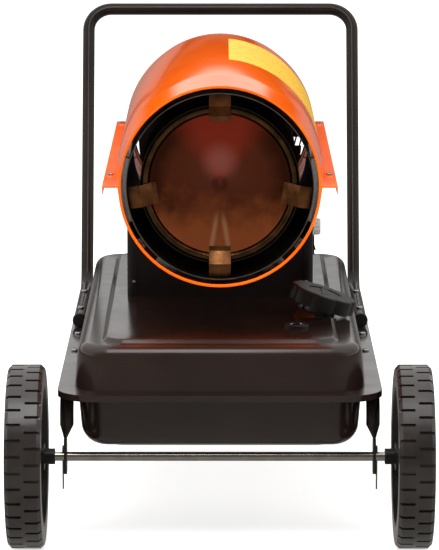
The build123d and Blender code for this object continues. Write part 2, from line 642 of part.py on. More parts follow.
# hexagonal drain plug screwed up into the bottom of the tank
with BuildPart() as drain_plug:
    with BuildSketch(Plane.XY.offset(DRAIN_Z)):
        with Locations((0, DRAIN_Y)):
            RegularPolygon(2 * NUT_RADIUS, 6)
    extrude(amount=-NUT_HEIGHT)
    with BuildSketch(Plane.XY.offset(DRAIN_Z)):
        with Locations((0, DRAIN_Y)):
            Circle(SCREW_HEAD_RADIUS)
    extrude(amount=3 * NUT_HEIGHT)
drain_plug.part.label = "drain_plug"
export_step(drain_plug.part, "parts/drain_plug.step")

# filler neck and its boss, welded on the tank's shoulder and leaning outwards
NECK_BORE = FILLER_RADIUS - 2 * SHEET
with BuildPart() as filler_neck:
    add(filler_boss(0))
    add(filler_boss(SHEET), mode=Mode.SUBTRACT)
    add(upper_form, mode=Mode.SUBTRACT)
    with BuildSketch(FILLER_PLANE.offset(-FILLER_HEIGHT)):
        Circle(FILLER_RADIUS)
    extrude(amount=2 * FILLER_HEIGHT)
    with BuildSketch(FILLER_PLANE.offset(-FILLER_HEIGHT)):
        Circle(NECK_BORE)
    extrude(amount=2 * FILLER_HEIGHT, mode=Mode.SUBTRACT)
filler_neck.part.label = "filler_neck"
export_step(filler_neck.part, "parts/filler_neck.step")

# strainer basket that hangs in the filler neck
with BuildPart() as fuel_strainer:
    with BuildSketch(FILLER_PLANE.offset(-STRAINER_DEPTH)):
        Circle(NECK_BORE - LOOSE_FIT)
    extrude(amount=STRAINER_DEPTH + FILLER_HEIGHT)
    with BuildSketch(FILLER_PLANE.offset(FILLER_HEIGHT)):
        Circle(FILLER_RADIUS)
    extrude(amount=SHEET)
    with BuildSketch(FILLER_PLANE.offset(-STRAINER_DEPTH + SHEET)):
        Circle(NECK_BORE - LOOSE_FIT - SHEET)
    extrude(amount=STRAINER_DEPTH + 2 * FILLER_HEIGHT, mode=Mode.SUBTRACT)
    strainer_slots = Plane(origin=FILLER_PLANE.origin - FILLER_DIRECTION * STRAINER_DEPTH / 2,
                           x_dir=FILLER_DIRECTION, z_dir=(0, 1, 0))
    with BuildSketch(strainer_slots):
        with GridLocations(2 * NUT_HEIGHT, 3 * SCREW_RADIUS, 3, 3):
            Rectangle(NUT_HEIGHT, SCREW_RADIUS)
    extrude(amount=2 * NECK_BORE, both=True, mode=Mode.SUBTRACT)
fuel_strainer.part.label = "fuel_strainer"
export_step(fuel_strainer.part, "parts/fuel_strainer.step")

# rubber seal that comes off with the cap
CAP_SEAT = FILLER_HEIGHT + SHEET
with BuildPart() as cap_seal:
    with BuildSketch(FILLER_PLANE.offset(CAP_SEAT + LOOSE_FIT)):
        Circle(FILLER_RADIUS)
        Circle(NECK_BORE - 2 * SHEET, mode=Mode.SUBTRACT)
    extrude(amount=2 * SHEET)
cap_seal.part.label = "cap_seal"
export_step(cap_seal.part, "parts/cap_seal.step")

# hand-wide fuel cap: a lobed grip with a hollow skirt round the neck
with BuildPart() as fuel_cap:
    cap_top = CAP_SEAT + 4 * SHEET + CAP_CROWN
    with BuildSketch(FILLER_PLANE.offset(cap_top - CAP_HEIGHT)):
        Circle(CAP_RIM_RADIUS - CAP_LOBE_RADIUS)
        with PolarLocations(CAP_RIM_RADIUS - CAP_LOBE_RADIUS, CAP_LOBES):
            Circle(CAP_LOBE_RADIUS)
    extrude(amount=CAP_HEIGHT)
    fillet(fuel_cap.edges().group_by(Axis(FILLER_PLANE.origin, FILLER_DIRECTION))[-1],
           radius=CAP_EDGE)
    with BuildSketch(FILLER_PLANE.offset(cap_top - CAP_HEIGHT)):
        Circle(FILLER_RADIUS + 2 * LOOSE_FIT)
    extrude(amount=CAP_HEIGHT - CAP_CROWN, mode=Mode.SUBTRACT)
    with BuildSketch(FILLER_PLANE.offset(cap_top)):
        Circle(FILLER_RADIUS)
        with Locations((0, 0)):
            SlotOverall(2 * FILLER_RADIUS - CAP_CROWN, 2 * CAP_CROWN, mode=Mode.SUBTRACT)
    extrude(amount=-SHEET, mode=Mode.SUBTRACT)
fuel_cap.part.label = "fuel_cap"
export_step(fuel_cap.part, "parts/fuel_cap.step")

# round fuel gauge let into the tank's top: bezel, window, pointer and float arm
with BuildPart() as gauge_body:
    with BuildSketch(Plane.XY.offset(PANEL_TOP)):
        with Locations((GAUGE_X, GAUGE_Y)):
            Circle(GAUGE_RADIUS)
    extrude(amount=3 * SHEET)
    with BuildSketch(Plane.XY.offset(PANEL_TOP - GAUGE_DEPTH)):
        with Locations((GAUGE_X, GAUGE_Y)):
            Circle(GAUGE_HOLE_RADIUS - LOOSE_FIT)
    extrude(amount=GAUGE_DEPTH)
    fillet(gauge_body.edges().group_by(Axis.Z)[-1], radius=SHEET)
    with BuildSketch(Plane.XY.offset(PANEL_TOP - SHEET)):
        with Locations((GAUGE_X, GAUGE_Y)):
            Circle(GAUGE_HOLE_RADIUS - 2 * SHEET)
    extrude(amount=6 * SHEET, mode=Mode.SUBTRACT)
gauge_body.part.label = "gauge_body"
export_step(gauge_body.part, "parts/gauge_body.step")

with BuildPart() as gauge_window:
    with BuildSketch(Plane.XY.offset(PANEL_TOP + SHEET)):
        with Locations((GAUGE_X, GAUGE_Y)):
            Circle(GAUGE_HOLE_RADIUS - 2 * SHEET - RUNNING_FIT)
    extrude(amount=SHEET)
gauge_window.part.label = "gauge_window"
export_step(gauge_window.part, "parts/gauge_window.step")

# pick-up pipe from the bottom of the tank into the control box, and the hose above it
with BuildPart() as pickup_pipe:
    with BuildSketch(Plane.XY.offset(TANK_BOTTOM + 2 * NUT_HEIGHT)):
        with Locations((0, PICKUP_Y)):
            Circle(PIPE_RADIUS)
            Circle(PIPE_RADIUS - SHEET, mode=Mode.SUBTRACT)
    extrude(amount=PANEL_TOP - TANK_BOTTOM + NUT_HEIGHT)
pickup_pipe.part.label = "pickup_pipe"
export_step(pickup_pipe.part, "parts/pickup_pipe.step")

# ---------------------------------------------------------------- drum shells
SHELL_INNER = DRUM_RADIUS - SHEET
REAR_CREASE = DRUM_LENGTH - REAR_NOSE


# half-turn wall of the drum with its tapered ends and the rolled bead round the outlet
with BuildSketch(drum_section()) as shell_wall:
    with BuildLine():
        Polyline(
            (0, NOSE_RADIUS),
            (FRONT_NOSE, DRUM_RADIUS),
            (REAR_CREASE, DRUM_RADIUS),
            (DRUM_LENGTH, NOSE_RADIUS),
            (DRUM_LENGTH, NOSE_RADIUS - SHEET),
            (REAR_CREASE, SHELL_INNER),
            (FRONT_NOSE, SHELL_INNER),
            (0, NOSE_RADIUS - SHEET),
            close=True,
        )
    make_face()
    with Locations((LIP_BEAD / 2, NOSE_RADIUS - LIP_BEAD / 2)):
        Circle(LIP_BEAD / 2)


def side_flanges(level, half_width):
    """Flat side flanges of one drum shell, from level upwards by one sheet."""
    wall = SHEET / 2
    with BuildPart() as flanges:
        for side, tag in SIDES:
            with BuildSketch(Plane.XY.offset(level)):
                with BuildLine():
                    Polyline(
                        (side * (NOSE_RADIUS - wall), DRUM_Y),
                        (side * half_width, DRUM_Y),
                        (side * half_width, DRUM_END_Y),
                        (side * (NOSE_RADIUS - wall), DRUM_END_Y),
                        (side * (DRUM_RADIUS - wall), DRUM_Y + REAR_CREASE),
                        (side * (DRUM_RADIUS - wall), DRUM_Y + FRONT_NOSE),
                        close=True,
                    )
                make_face()
            extrude(amount=SHEET)
    return flanges.part


SHELL_SCREW_X = (DRUM_RADIUS + DRUM_FLANGE_HALF_WIDTH) / 2
shell_spots = [(side * SHELL_SCREW_X, y) for side, tag in SIDES
               for y in (DRUM_Y + SHELL_SCREW_FRONT, DRUM_END_Y - SHELL_SCREW_REAR)]


with BuildPart() as shell_screw_holes:
    with BuildSketch(Plane.XY.offset(DRUM_AXIS_HEIGHT - 2 * SHEET)):
        with Locations(*shell_spots):
            Circle(SHELL_SCREW_RADIUS + LOOSE_FIT)
    extrude(amount=4 * SHEET)

with BuildPart() as drum_upper_shell:
    revolve(shell_wall.sketch, axis=DRUM_AXIS.reverse(), revolution_arc=180)
    add(side_flanges(DRUM_AXIS_HEIGHT, DRUM_FLANGE_HALF_WIDTH))
    for side, tag in SIDES:
        with BuildSketch(Plane.XY.offset(DRUM_AXIS_HEIGHT + SHEET)):
            with Locations((side * (DRUM_FLANGE_HALF_WIDTH - SHEET / 2),
                            DRUM_Y + DRUM_LENGTH / 2)):
                Rectangle(SHEET, DRUM_LENGTH)
        extrude(amount=-DRUM_LIP_DROP)
    add(shell_screw_holes.part, mode=Mode.SUBTRACT)
drum_upper_shell.part.label = "drum_upper_shell"
export_step(drum_upper_shell.part, "parts/drum_upper_shell.step")

with BuildPart() as drum_lower_shell:
    revolve(shell_wall.sketch, axis=DRUM_AXIS, revolution_arc=180)
    add(side_flanges(DRUM_AXIS_HEIGHT - SHEET, DRUM_FLANGE_HALF_WIDTH - SHEET - LOOSE_FIT))
    add(shell_screw_holes.part, mode=Mode.SUBTRACT)
    with BuildSketch(Plane.XY.offset(BOX_BOTTOM)):
        with Locations((0, PICKUP_Y)):
            Circle(PIPE_RADIUS + 2 * LOOSE_FIT)
    extrude(amount=DRUM_AXIS_HEIGHT - DRUM_RADIUS / 2 - BOX_BOTTOM, mode=Mode.SUBTRACT)
drum_lower_shell.part.label = "drum_lower_shell"
export_step(drum_lower_shell.part, "parts/drum_lower_shell.step")

with BuildPart() as shell_screws:
    screw_row(shell_spots, DRUM_AXIS_HEIGHT + SHEET, DRUM_AXIS_HEIGHT - 2 * NUT_HEIGHT,
              head_radius=2 * SHELL_SCREW_RADIUS, radius=SHELL_SCREW_RADIUS)
    fillet(shell_screws.edges().group_by(Axis.Z)[-1], radius=SCREW_HEAD_HEIGHT / 2)
shell_screws.part.label = "shell_screws"
export_step(shell_screws.part, "parts/shell_screws.step")

# ---------------------------------------------------------------- burner
with BuildPart() as heat_shield:
    with BuildSketch(drum_face(SHIELD_START)):
        Circle(SHIELD_RADIUS)
        Circle(SHIELD_RADIUS - SHEET, mode=Mode.SUBTRACT)
    extrude(amount=SHIELD_LENGTH)
heat_shield.part.label = "heat_shield"
export_step(heat_shield.part, "parts/heat_shield.step")


def spacers(inner, outer, station):
    """Four angled tabs between two round walls: a foot on the inner one and a web."""
    with BuildPart() as tabs:
        with BuildSketch(drum_face(station)):
            with PolarLocations((inner + outer) / 2, 4, start_angle=45):
                Rectangle(outer - inner, SPACER_WIDTH)
            Circle(inner, mode=Mode.SUBTRACT)
            Circle(outer, mode=Mode.INTERSECT)
        extrude(amount=2 * SHEET)
        with BuildSketch(drum_face(station)):
            with PolarLocations(inner + SHEET, 4, start_angle=45):
                Rectangle(4 * SHEET, SPACER_WIDTH)
            Circle(inner, mode=Mode.SUBTRACT)
        extrude(amount=SPACER_WIDTH)
    return tabs.part


NOSE_SLOPE = (DRUM_RADIUS - NOSE_RADIUS) / FRONT_NOSE
with BuildPart() as shield_spacers:
    add(spacers(SHIELD_RADIUS, NOSE_RADIUS - SHEET + NOSE_SLOPE * SPACER_STATION - LOOSE_FIT,
                SPACER_STATION))
    add(spacers(SHIELD_RADIUS, SHELL_INNER - LOOSE_FIT,
                SHIELD_START + SHIELD_LENGTH - 2 * SPACER_WIDTH))
shield_spacers.part.label = "shield_spacers"
export_step(shield_spacers.part, "parts/shield_spacers.step")

with BuildPart() as combustion_chamber:
    with BuildSketch(drum_face(CHAMBER_START)):
        Circle(CHAMBER_RADIUS)
    extrude(amount=CHAMBER_LENGTH)
    fillet(combustion_chamber.edges().group_by(Axis.Y)[-1], radius=CHAMBER_EDGE)
    with BuildSketch(drum_face(CHAMBER_START)):
        Circle(CHAMBER_RADIUS - SHEET)
    extrude(amount=CHAMBER_LENGTH - CHAMBER_EDGE, mode=Mode.SUBTRACT)
    with BuildSketch(drum_face(CHAMBER_START)):
        Circle(BURNER_RADIUS - 2 * SHEET)
    extrude(amount=2 * CHAMBER_LENGTH, mode=Mode.SUBTRACT)
combustion_chamber.part.label = "combustion_chamber"
export_step(combustion_chamber.part, "parts/combustion_chamber.step")

with BuildPart() as chamber_spacers:
    add(spacers(CHAMBER_RADIUS, SHIELD_RADIUS - SHEET - LOOSE_FIT,
                CHAMBER_END - 2 * SPACER_WIDTH))
chamber_spacers.part.label = "chamber_spacers"
export_step(chamber_spacers.part, "parts/chamber_spacers.step")

# rounded ring that narrows the mouth of the chamber
with BuildPart() as chamber_ring:
    ring_width = CHAMBER_RADIUS - SHEET - RING_INNER_RADIUS
    with BuildSketch(drum_section()):
        with Locations((CHAMBER_START - SHEET + RING_DEPTH / 2,
                        RING_INNER_RADIUS + ring_width / 2)):
            RectangleRounded(RING_DEPTH, ring_width, (ring_width - SHEET) / 2)
    revolve(axis=DRUM_AXIS)
chamber_ring.part.label = "chamber_ring"
export_step(chamber_ring.part, "parts/chamber_ring.step")

# spun disc that closes the chamber's mouth and spreads the flame
with BuildPart() as baffle_disc:
    with BuildSketch(drum_section()):
        with BuildLine():
            Polyline(
                (DISC_START, DISC_RADIUS),
                (DISC_START + DISC_DISH, 0),
                (DISC_START + DISC_DISH + SHEET, 0),
                (DISC_START + SHEET, DISC_RADIUS),
                close=True,
            )
        make_face()
    revolve(axis=DRUM_AXIS)
baffle_disc.part.label = "baffle_disc"
export_step(baffle_disc.part, "parts/baffle_disc.step")

# four bent straps from the disc over the ring to the shield
with BuildPart() as baffle_straps:
    strap_start = DISC_START - STRAP_THICKNESS / 2
    strap_outer = SHIELD_RADIUS - SHEET - STRAP_THICKNESS / 2
    for angle in STRAP_ANGLES:
        with BuildSketch(drum_section(angle)):
            with BuildLine() as strap_line:
                Polyline(
                    (strap_start, DISC_RADIUS - STRAP_OVERLAP),
                    (strap_start, DISC_RADIUS - 2 * STRAP_THICKNESS),
                    (STRAP_STATION, CHAMBER_RADIUS),
                    (STRAP_STATION, strap_outer),
                    (STRAP_STATION + STRAP_TAB, strap_outer),
                )
            trace(line_width=STRAP_THICKNESS)
        extrude(amount=STRAP_WIDTH / 2, both=True)
    with BuildSketch(drum_face(0)):
        Circle(SHIELD_RADIUS + STRAP_WIDTH)
        Circle(SHIELD_RADIUS - SHEET, mode=Mode.SUBTRACT)
    extrude(amount=CHAMBER_LENGTH, mode=Mode.SUBTRACT)
baffle_straps.part.label = "baffle_straps"
export_step(baffle_straps.part, "parts/baffle_straps.step")

# burner head on the chamber's back wall, with its nozzle and the two electrodes
with BuildPart() as burner_head:
    with BuildSketch(drum_section()):
        with BuildLine():
            Polyline(
                (CHAMBER_END, BURNER_RADIUS),
                (CHAMBER_END + BURNER_LENGTH, BURNER_RADIUS),
                (CHAMBER_END + BURNER_LENGTH, NOZZLE_RADIUS),
                (CHAMBER_END + BURNER_LENGTH / 2, NOZZLE_RADIUS),
                (CHAMBER_END + BURNER_LENGTH / 2, BURNER_RADIUS - 2 * SHEET),
                (CHAMBER_END, BURNER_RADIUS - 2 * SHEET),
                close=True,
            )
        make_face()
    revolve(axis=DRUM_AXIS)
    with BuildSketch(Plane.XY.offset(DRUM_AXIS_HEIGHT - 2 * BURNER_RADIUS)):
        with Locations((0, PICKUP_Y)):
            Circle(PIPE_RADIUS + SHEET)
        with Locations((AIR_LINE_X, PICKUP_Y)):
            Circle(PIPE_RADIUS)
    extrude(amount=2 * BURNER_RADIUS, mode=Mode.SUBTRACT)
burner_head.part.label = "burner_head"
export_step(burner_head.part, "parts/burner_head.step")

with BuildPart() as fuel_nozzle:
    with BuildSketch(drum_face(CHAMBER_END + BURNER_LENGTH / 2 - 2 * NOZZLE_RADIUS)):
        Circle(NOZZLE_RADIUS)
    extrude(amount=2 * NOZZLE_RADIUS + BURNER_LENGTH / 2)
    chamfer(fuel_nozzle.edges().group_by(Axis.Y)[0], length=NOZZLE_RADIUS / 2)
fuel_nozzle.part.label = "fuel_nozzle"
export_step(fuel_nozzle.part, "parts/fuel_nozzle.step")

# ignition electrodes on both sides of the nozzle
with BuildPart() as electrodes:
    for side, tag in SIDES:
        with BuildSketch(drum_face(CHAMBER_END + SHEET)):
            with Locations((side * 2 * NOZZLE_RADIUS, NOZZLE_RADIUS)):
                Circle(ELECTRODE_RADIUS)
        extrude(amount=BURNER_LENGTH / 2 - SHEET)
        with BuildSketch(drum_face(CHAMBER_END - 2 * NOZZLE_RADIUS)):
            with Locations((side * 2 * NOZZLE_RADIUS, NOZZLE_RADIUS)):
                Circle(ELECTRODE_RADIUS / 3)
        extrude(amount=2 * NOZZLE_RADIUS + 2 * SHEET)
electrodes.part.label = "electrodes"
export_step(electrodes.part, "parts/electrodes.step")

# ---------------------------------------------------------------- fan, motor and pump
MOTOR_STATION = FAN_STATION + FAN_DEPTH
PUMP_STATION = MOTOR_STATION + MOTOR_LENGTH
SHAFT_START = FAN_STATION - FAN_DEPTH / 2 - SHEET
with BuildPart() as motor_shaft:
    with BuildSketch(drum_face(SHAFT_START)):
        Circle(SHAFT_RADIUS)
    extrude(amount=PUMP_STATION + PUMP_LENGTH / 2 - SHAFT_START)
motor_shaft.part.label = "motor_shaft"
export_step(motor_shaft.part, "parts/motor_shaft.step")

# pressed fan: a hub and twisted blades
with BuildPart() as fan_blade:
    with BuildSketch(drum_face(FAN_STATION - FAN_DEPTH / 2)):
        Circle(FAN_HUB_RADIUS)
    extrude(amount=FAN_DEPTH)
    fillet(fan_blade.edges().group_by(Axis.Y)[0], radius=2 * SHEET)
    hub_middle = (0, DRUM_Y + FAN_STATION, DRUM_AXIS_HEIGHT)
    for number in range(FAN_BLADES):
        turn = 360 * number / FAN_BLADES
        out = Vector(cos(radians(turn)), 0, sin(radians(turn)))
        for station, chord, pitch in (
            (FAN_HUB_RADIUS - 2 * SHEET, FAN_ROOT_CHORD, FAN_ROOT_PITCH),
            (FAN_RADIUS, FAN_TIP_CHORD, FAN_TIP_PITCH),
        ):
            blade_plane = Plane(origin=Vector(*hub_middle) + out * station,
                                x_dir=(0, 1, 0), z_dir=out)
            with BuildSketch(blade_plane):
                Rectangle(chord, 2 * SHEET, rotation=pitch)
        loft()
    with BuildSketch(drum_face(0)):
        Circle(SHAFT_RADIUS)
    extrude(amount=DRUM_LENGTH, mode=Mode.SUBTRACT)
fan_blade.part.label = "fan_blade"
export_step(fan_blade.part, "parts/fan_blade.step")

with BuildPart() as fan_motor:
    with BuildSketch(drum_section()):
        with BuildLine():
            Polyline(
                (MOTOR_STATION, SHAFT_RADIUS + RUNNING_FIT),
                (MOTOR_STATION, MOTOR_RADIUS / 2),
                (MOTOR_STATION + MOTOR_BELL, MOTOR_RADIUS - MOTOR_BELL / 2),
                (MOTOR_STATION + MOTOR_BELL, MOTOR_RADIUS),
                (PUMP_STATION - MOTOR_BELL, MOTOR_RADIUS),
                (PUMP_STATION - MOTOR_BELL, MOTOR_RADIUS - MOTOR_BELL / 2),
                (PUMP_STATION, MOTOR_RADIUS - MOTOR_BELL),
                (PUMP_STATION, SHAFT_RADIUS + RUNNING_FIT),
                close=True,
            )
        make_face()
    revolve(axis=DRUM_AXIS)
fan_motor.part.label = "fan_motor"
export_step(fan_motor.part, "parts/fan_motor.step")

# cradle that carries the motor on the lower shell
with BuildPart() as motor_bracket:
    with BuildSketch(drum_face(MOTOR_STATION + 2 * MOTOR_BELL)):
        Circle(MOTOR_RADIUS + 2 * SHEET)
        leg_height = SHELL_INNER
        with Locations((-MOTOR_RADIUS - SHEET, leg_height / 2),
                       (MOTOR_RADIUS + SHEET, leg_height / 2)):
            Rectangle(2 * SHEET, leg_height)
        Circle(MOTOR_RADIUS, mode=Mode.SUBTRACT)
        Circle(SHELL_INNER, mode=Mode.INTERSECT)
    extrude(amount=MOTOR_LENGTH - 4 * MOTOR_BELL)
motor_bracket.part.label = "motor_bracket"
export_step(motor_bracket.part, "parts/motor_bracket.step")

# rotary air pump on the back of the motor, with its ribbed filter cover
with BuildPart() as air_pump:
    with BuildSketch(drum_face(PUMP_STATION)):
        Circle(PUMP_RADIUS)
    extrude(amount=PUMP_LENGTH)
    with BuildSketch(drum_face(PUMP_STATION)):
        Circle(SHAFT_RADIUS + RUNNING_FIT)
    extrude(amount=PUMP_LENGTH / 2 + SHEET, mode=Mode.SUBTRACT)
air_pump.part.label = "air_pump"
export_step(air_pump.part, "parts/air_pump.step")

FILTER_STATION = PUMP_STATION + PUMP_LENGTH
with BuildPart() as filter_cover:
    with BuildSketch(drum_face(FILTER_STATION)):
        Circle(PUMP_RADIUS + 2 * SHEET)
    extrude(amount=FILTER_DEPTH)
    fillet(filter_cover.edges().group_by(Axis.Y)[-1], radius=FILTER_DEPTH / 3)
    with BuildSketch(drum_face(FILTER_STATION + FILTER_DEPTH)):
        with GridLocations(FILTER_SLOT_PITCH, 1, FILTER_SLOTS, 1):
            SlotOverall(PUMP_RADIUS, FILTER_SLOT_PITCH / 2, rotation=90)
    extrude(amount=-FILTER_DEPTH / 3, mode=Mode.SUBTRACT)
filter_cover.part.label = "filter_cover"
export_step(filter_cover.part, "parts/filter_cover.step")

# round guard over the air inlet
GUARD_STATION = DRUM_LENGTH - GUARD_INSET
GUARD_RADIUS = NOSE_RADIUS - SHEET + NOSE_SLOPE_REAR * (GUARD_INSET - GUARD_WIRE) - LOOSE_FIT
with BuildPart() as rear_guard:
    with BuildSketch(drum_face(GUARD_STATION)):
        for ring in range(GUARD_RINGS):
            ring_radius = GUARD_RADIUS - ring * GUARD_STEP
            Circle(ring_radius)
            Circle(ring_radius - GUARD_WIRE, mode=Mode.SUBTRACT)
    extrude(amount=GUARD_WIRE)
    with BuildSketch(drum_face(GUARD_STATION - GUARD_WIRE)):
        with PolarLocations(GUARD_RADIUS / 2, GUARD_SPOKES):
            Rectangle(GUARD_RADIUS - 2 * GUARD_WIRE, GUARD_WIRE)
        Circle(GUARD_RADIUS - (GUARD_RINGS - 1) * GUARD_STEP - GUARD_WIRE,
               mode=Mode.SUBTRACT)
    extrude(amount=GUARD_WIRE)
rear_guard.part.label = "rear_guard"
export_step(rear_guard.part, "parts/rear_guard.step")

# fuel hose straight up into the burner, and the air line that runs below the fan
HOSE_START = PANEL_TOP + NUT_HEIGHT + 2 * NUT_HEIGHT
with BuildPart() as fuel_hose:
    with BuildSketch(Plane.XY.offset(HOSE_START)):
        with Locations((0, PICKUP_Y)):
            Circle(PIPE_RADIUS)
    extrude(amount=DRUM_AXIS_HEIGHT - BURNER_RADIUS + 2 * SHEET - HOSE_START)
fuel_hose.part.label = "fuel_hose"
export_step(fuel_hose.part, "parts/fuel_hose.step")

AIR_LINE_Z = DRUM_AXIS_HEIGHT - FAN_RADIUS - AIR_LINE_DROP
PUMP_Y = DRUM_Y + PUMP_STATION + PUMP_LENGTH / 2
with BuildPart() as air_line:
    with BuildLine() as air_path:
        FilletPolyline(
            (AIR_LINE_X, PUMP_Y, DRUM_AXIS_HEIGHT - PUMP_RADIUS + PIPE_RADIUS),
            (AIR_LINE_X, PUMP_Y, AIR_LINE_Z),
            (AIR_LINE_X, PICKUP_Y, AIR_LINE_Z),
            (AIR_LINE_X, PICKUP_Y, DRUM_AXIS_HEIGHT - BURNER_RADIUS + 3 * PIPE_RADIUS),
            radius=6 * PIPE_RADIUS,
        )
    with BuildSketch(Plane(origin=air_path.line @ 0, z_dir=air_path.line % 0)):
        Circle(PIPE_RADIUS)
    sweep(path=air_path.line)
    with BuildSketch(drum_face(PUMP_STATION)):
        Circle(PUMP_RADIUS)
    extrude(amount=PUMP_LENGTH, mode=Mode.SUBTRACT)
air_line.part.label = "air_line"
export_step(air_line.part, "parts/air_line.step")

# ---------------------------------------------------------------- control box
BOX_MID_Y = BOX_Y + BOX_LENGTH / 2
with BuildPart() as box_wall:
    with BuildSketch(Plane.XY.offset(BOX_BOTTOM)):
        with Locations((0, BOX_MID_Y)):
            RectangleRounded(2 * BOX_HALF_WIDTH, BOX_LENGTH, BOX_BEND)
            RectangleRounded(2 * (BOX_HALF_WIDTH - SHEET), BOX_LENGTH - 2 * SHEET,
                             BOX_BEND - SHEET, mode=Mode.SUBTRACT)
            Rectangle(2 * (BOX_HALF_WIDTH - BOX_RETURN), BOX_LENGTH, mode=Mode.SUBTRACT)
    extrude(amount=SIDE_TOP - BOX_BOTTOM)
    with BuildSketch(drum_face(0)):
        Circle(DRUM_RADIUS + LOOSE_FIT)
    extrude(amount=DRUM_LENGTH, mode=Mode.SUBTRACT)

KNOB_Y = BOX_Y + KNOB_INSET
KNOB_HEIGHT = DRUM_AXIS_HEIGHT - KNOB_DROP
ROCKER_Y = KNOB_Y
ROCKER_HEIGHT = DRUM_AXIS_HEIGHT - ROCKER_DROP
with BuildPart() as box_side_left:
    add(box_wall.part)
    split(bisect_by=Plane.YZ, keep=Keep.BOTTOM)
box_side_left.part.label = "box_side_left"
export_step(box_side_left.part, "parts/box_side_left.step")

with BuildPart() as box_side_right:
    add(box_wall.part)
    split(bisect_by=Plane.YZ, keep=Keep.TOP)
    with BuildSketch(across(BOX_HALF_WIDTH - 2 * SHEET)):
        with Locations((KNOB_Y, KNOB_HEIGHT)):
            Circle(SPINDLE_RADIUS + LOOSE_FIT)
        with Locations((ROCKER_Y, ROCKER_HEIGHT)):
            Rectangle(SWITCH_WIDTH, SWITCH_HEIGHT)
    extrude(amount=4 * SHEET, mode=Mode.SUBTRACT)
box_side_right.part.label = "box_side_right"
export_step(box_side_right.part, "parts/box_side_right.step")


def box_end(y):
    """Flat end wall of the box, hollowed out above to take the drum."""
    with BuildPart() as wall:
        with BuildSketch(facing(y)):
            with Locations((0, (BOX_BOTTOM + SIDE_TOP) / 2)):
                Rectangle(2 * (BOX_HALF_WIDTH - BOX_BEND), SIDE_TOP - BOX_BOTTOM)
            with Locations((0, DRUM_AXIS_HEIGHT)):
                Circle(DRUM_RADIUS + LOOSE_FIT, mode=Mode.SUBTRACT)
        extrude(amount=SHEET)
    return wall.part


with BuildPart() as box_front:
    add(box_end(BOX_Y + SHEET))
box_front.part.label = "box_front"
export_step(box_front.part, "parts/box_front.step")

CORD_HOLE_X = BOX_HALF_WIDTH / 2
with BuildPart() as box_rear:
    add(box_end(BOX_END_Y - 2 * SHEET))
    with BuildSketch(facing(BOX_END_Y - 4 * SHEET)):
        with Locations((-CORD_HOLE_X, BOX_BOTTOM + GLAND_HEIGHT)):
            Circle(GLAND_RADIUS + RUNNING_FIT)
    extrude(amount=6 * SHEET, mode=Mode.SUBTRACT)
box_rear.part.label = "box_rear"
export_step(box_rear.part, "parts/box_rear.step")

# self-tapping screws through the front and rear returns of the side panels
with BuildPart() as box_screws:
    screw_x = BOX_HALF_WIDTH - BOX_RETURN + BOX_SCREW_RADIUS + SHEET
    for y, outwards in ((BOX_Y, -1), (BOX_END_Y, 1)):
        with BuildSketch(facing(y)):
            with GridLocations(2 * screw_x, 1, 2, 1):
                with Locations((0, BOX_BOTTOM + BOX_SCREW_HEIGHT)):
                    Circle(BOX_SCREW_RADIUS)
        extrude(amount=outwards * 2 * SHEET)
box_screws.part.label = "box_screws"
export_step(box_screws.part, "parts/box_screws.step")

# nut and grip of the mains lead's entry in the rear wall
with BuildPart() as cable_gland:
    with BuildSketch(facing(BOX_END_Y - SHEET)):
        with Locations((-CORD_HOLE_X, BOX_BOTTOM + GLAND_HEIGHT)):
            RegularPolygon(GLAND_RADIUS + 3 * SHEET, 6)
    extrude(amount=NUT_HEIGHT)
    with BuildSketch(facing(BOX_END_Y - SHEET)):
        with Locations((-CORD_HOLE_X, BOX_BOTTOM + GLAND_HEIGHT)):
            Circle(GLAND_RADIUS)
    extrude(amount=3 * NUT_HEIGHT)
    with BuildSketch(facing(BOX_END_Y - SHEET)):
        with Locations((-CORD_HOLE_X, BOX_BOTTOM + GLAND_HEIGHT)):
            Circle(GLAND_RADIUS)
    extrude(amount=-2 * NUT_HEIGHT)
    with BuildSketch(facing(BOX_END_Y - 4 * NUT_HEIGHT)):
        with Locations((-CORD_HOLE_X, BOX_BOTTOM + GLAND_HEIGHT)):
            Circle(CORD_RADIUS)
    extrude(amount=8 * NUT_HEIGHT, mode=Mode.SUBTRACT)
cable_gland.part.label = "cable_gland"
export_step(cable_gland.part, "parts/cable_gland.step")

# thermostat behind the right-hand panel and its knob
THERMOSTAT_X = BOX_HALF_WIDTH - SHEET
with BuildPart() as thermostat:
    with BuildSketch(across(THERMOSTAT_X)):
        with Locations((KNOB_Y, KNOB_HEIGHT)):
            Circle(KNOB_RADIUS)
    extrude(amount=-KNOB_RADIUS)
    with BuildSketch(across(THERMOSTAT_X)):
        with Locations((KNOB_Y, KNOB_HEIGHT)):
            Circle(SPINDLE_RADIUS + RUNNING_FIT)
    extrude(amount=-KNOB_RADIUS + SHEET, mode=Mode.SUBTRACT)
thermostat.part.label = "thermostat"
export_step(thermostat.part, "parts/thermostat.step")

with BuildPart() as thermostat_knob:
    with BuildSketch(across(BOX_HALF_WIDTH + KNOB_GAP)):
        with Locations((KNOB_Y, KNOB_HEIGHT)):
            Circle(KNOB_RADIUS)
            with PolarLocations(KNOB_RADIUS, KNOB_FLUTES):
                Circle(SHEET, mode=Mode.SUBTRACT)
    extrude(amount=KNOB_THICKNESS, taper=KNOB_DRAFT)
    with BuildSketch(across(BOX_HALF_WIDTH + KNOB_GAP + KNOB_THICKNESS)):
        with Locations((KNOB_Y, KNOB_HEIGHT)):
            Rectangle(2 * SHEET, 2 * (KNOB_RADIUS - 2 * SHEET))
    extrude(amount=SHEET)
    with BuildSketch(across(BOX_HALF_WIDTH + KNOB_GAP)):
        with Locations((KNOB_Y, KNOB_HEIGHT)):
            Circle(SPINDLE_RADIUS)
    extrude(amount=-KNOB_RADIUS + KNOB_GAP)
thermostat_knob.part.label = "thermostat_knob"
export_step(thermostat_knob.part, "parts/thermostat_knob.step")

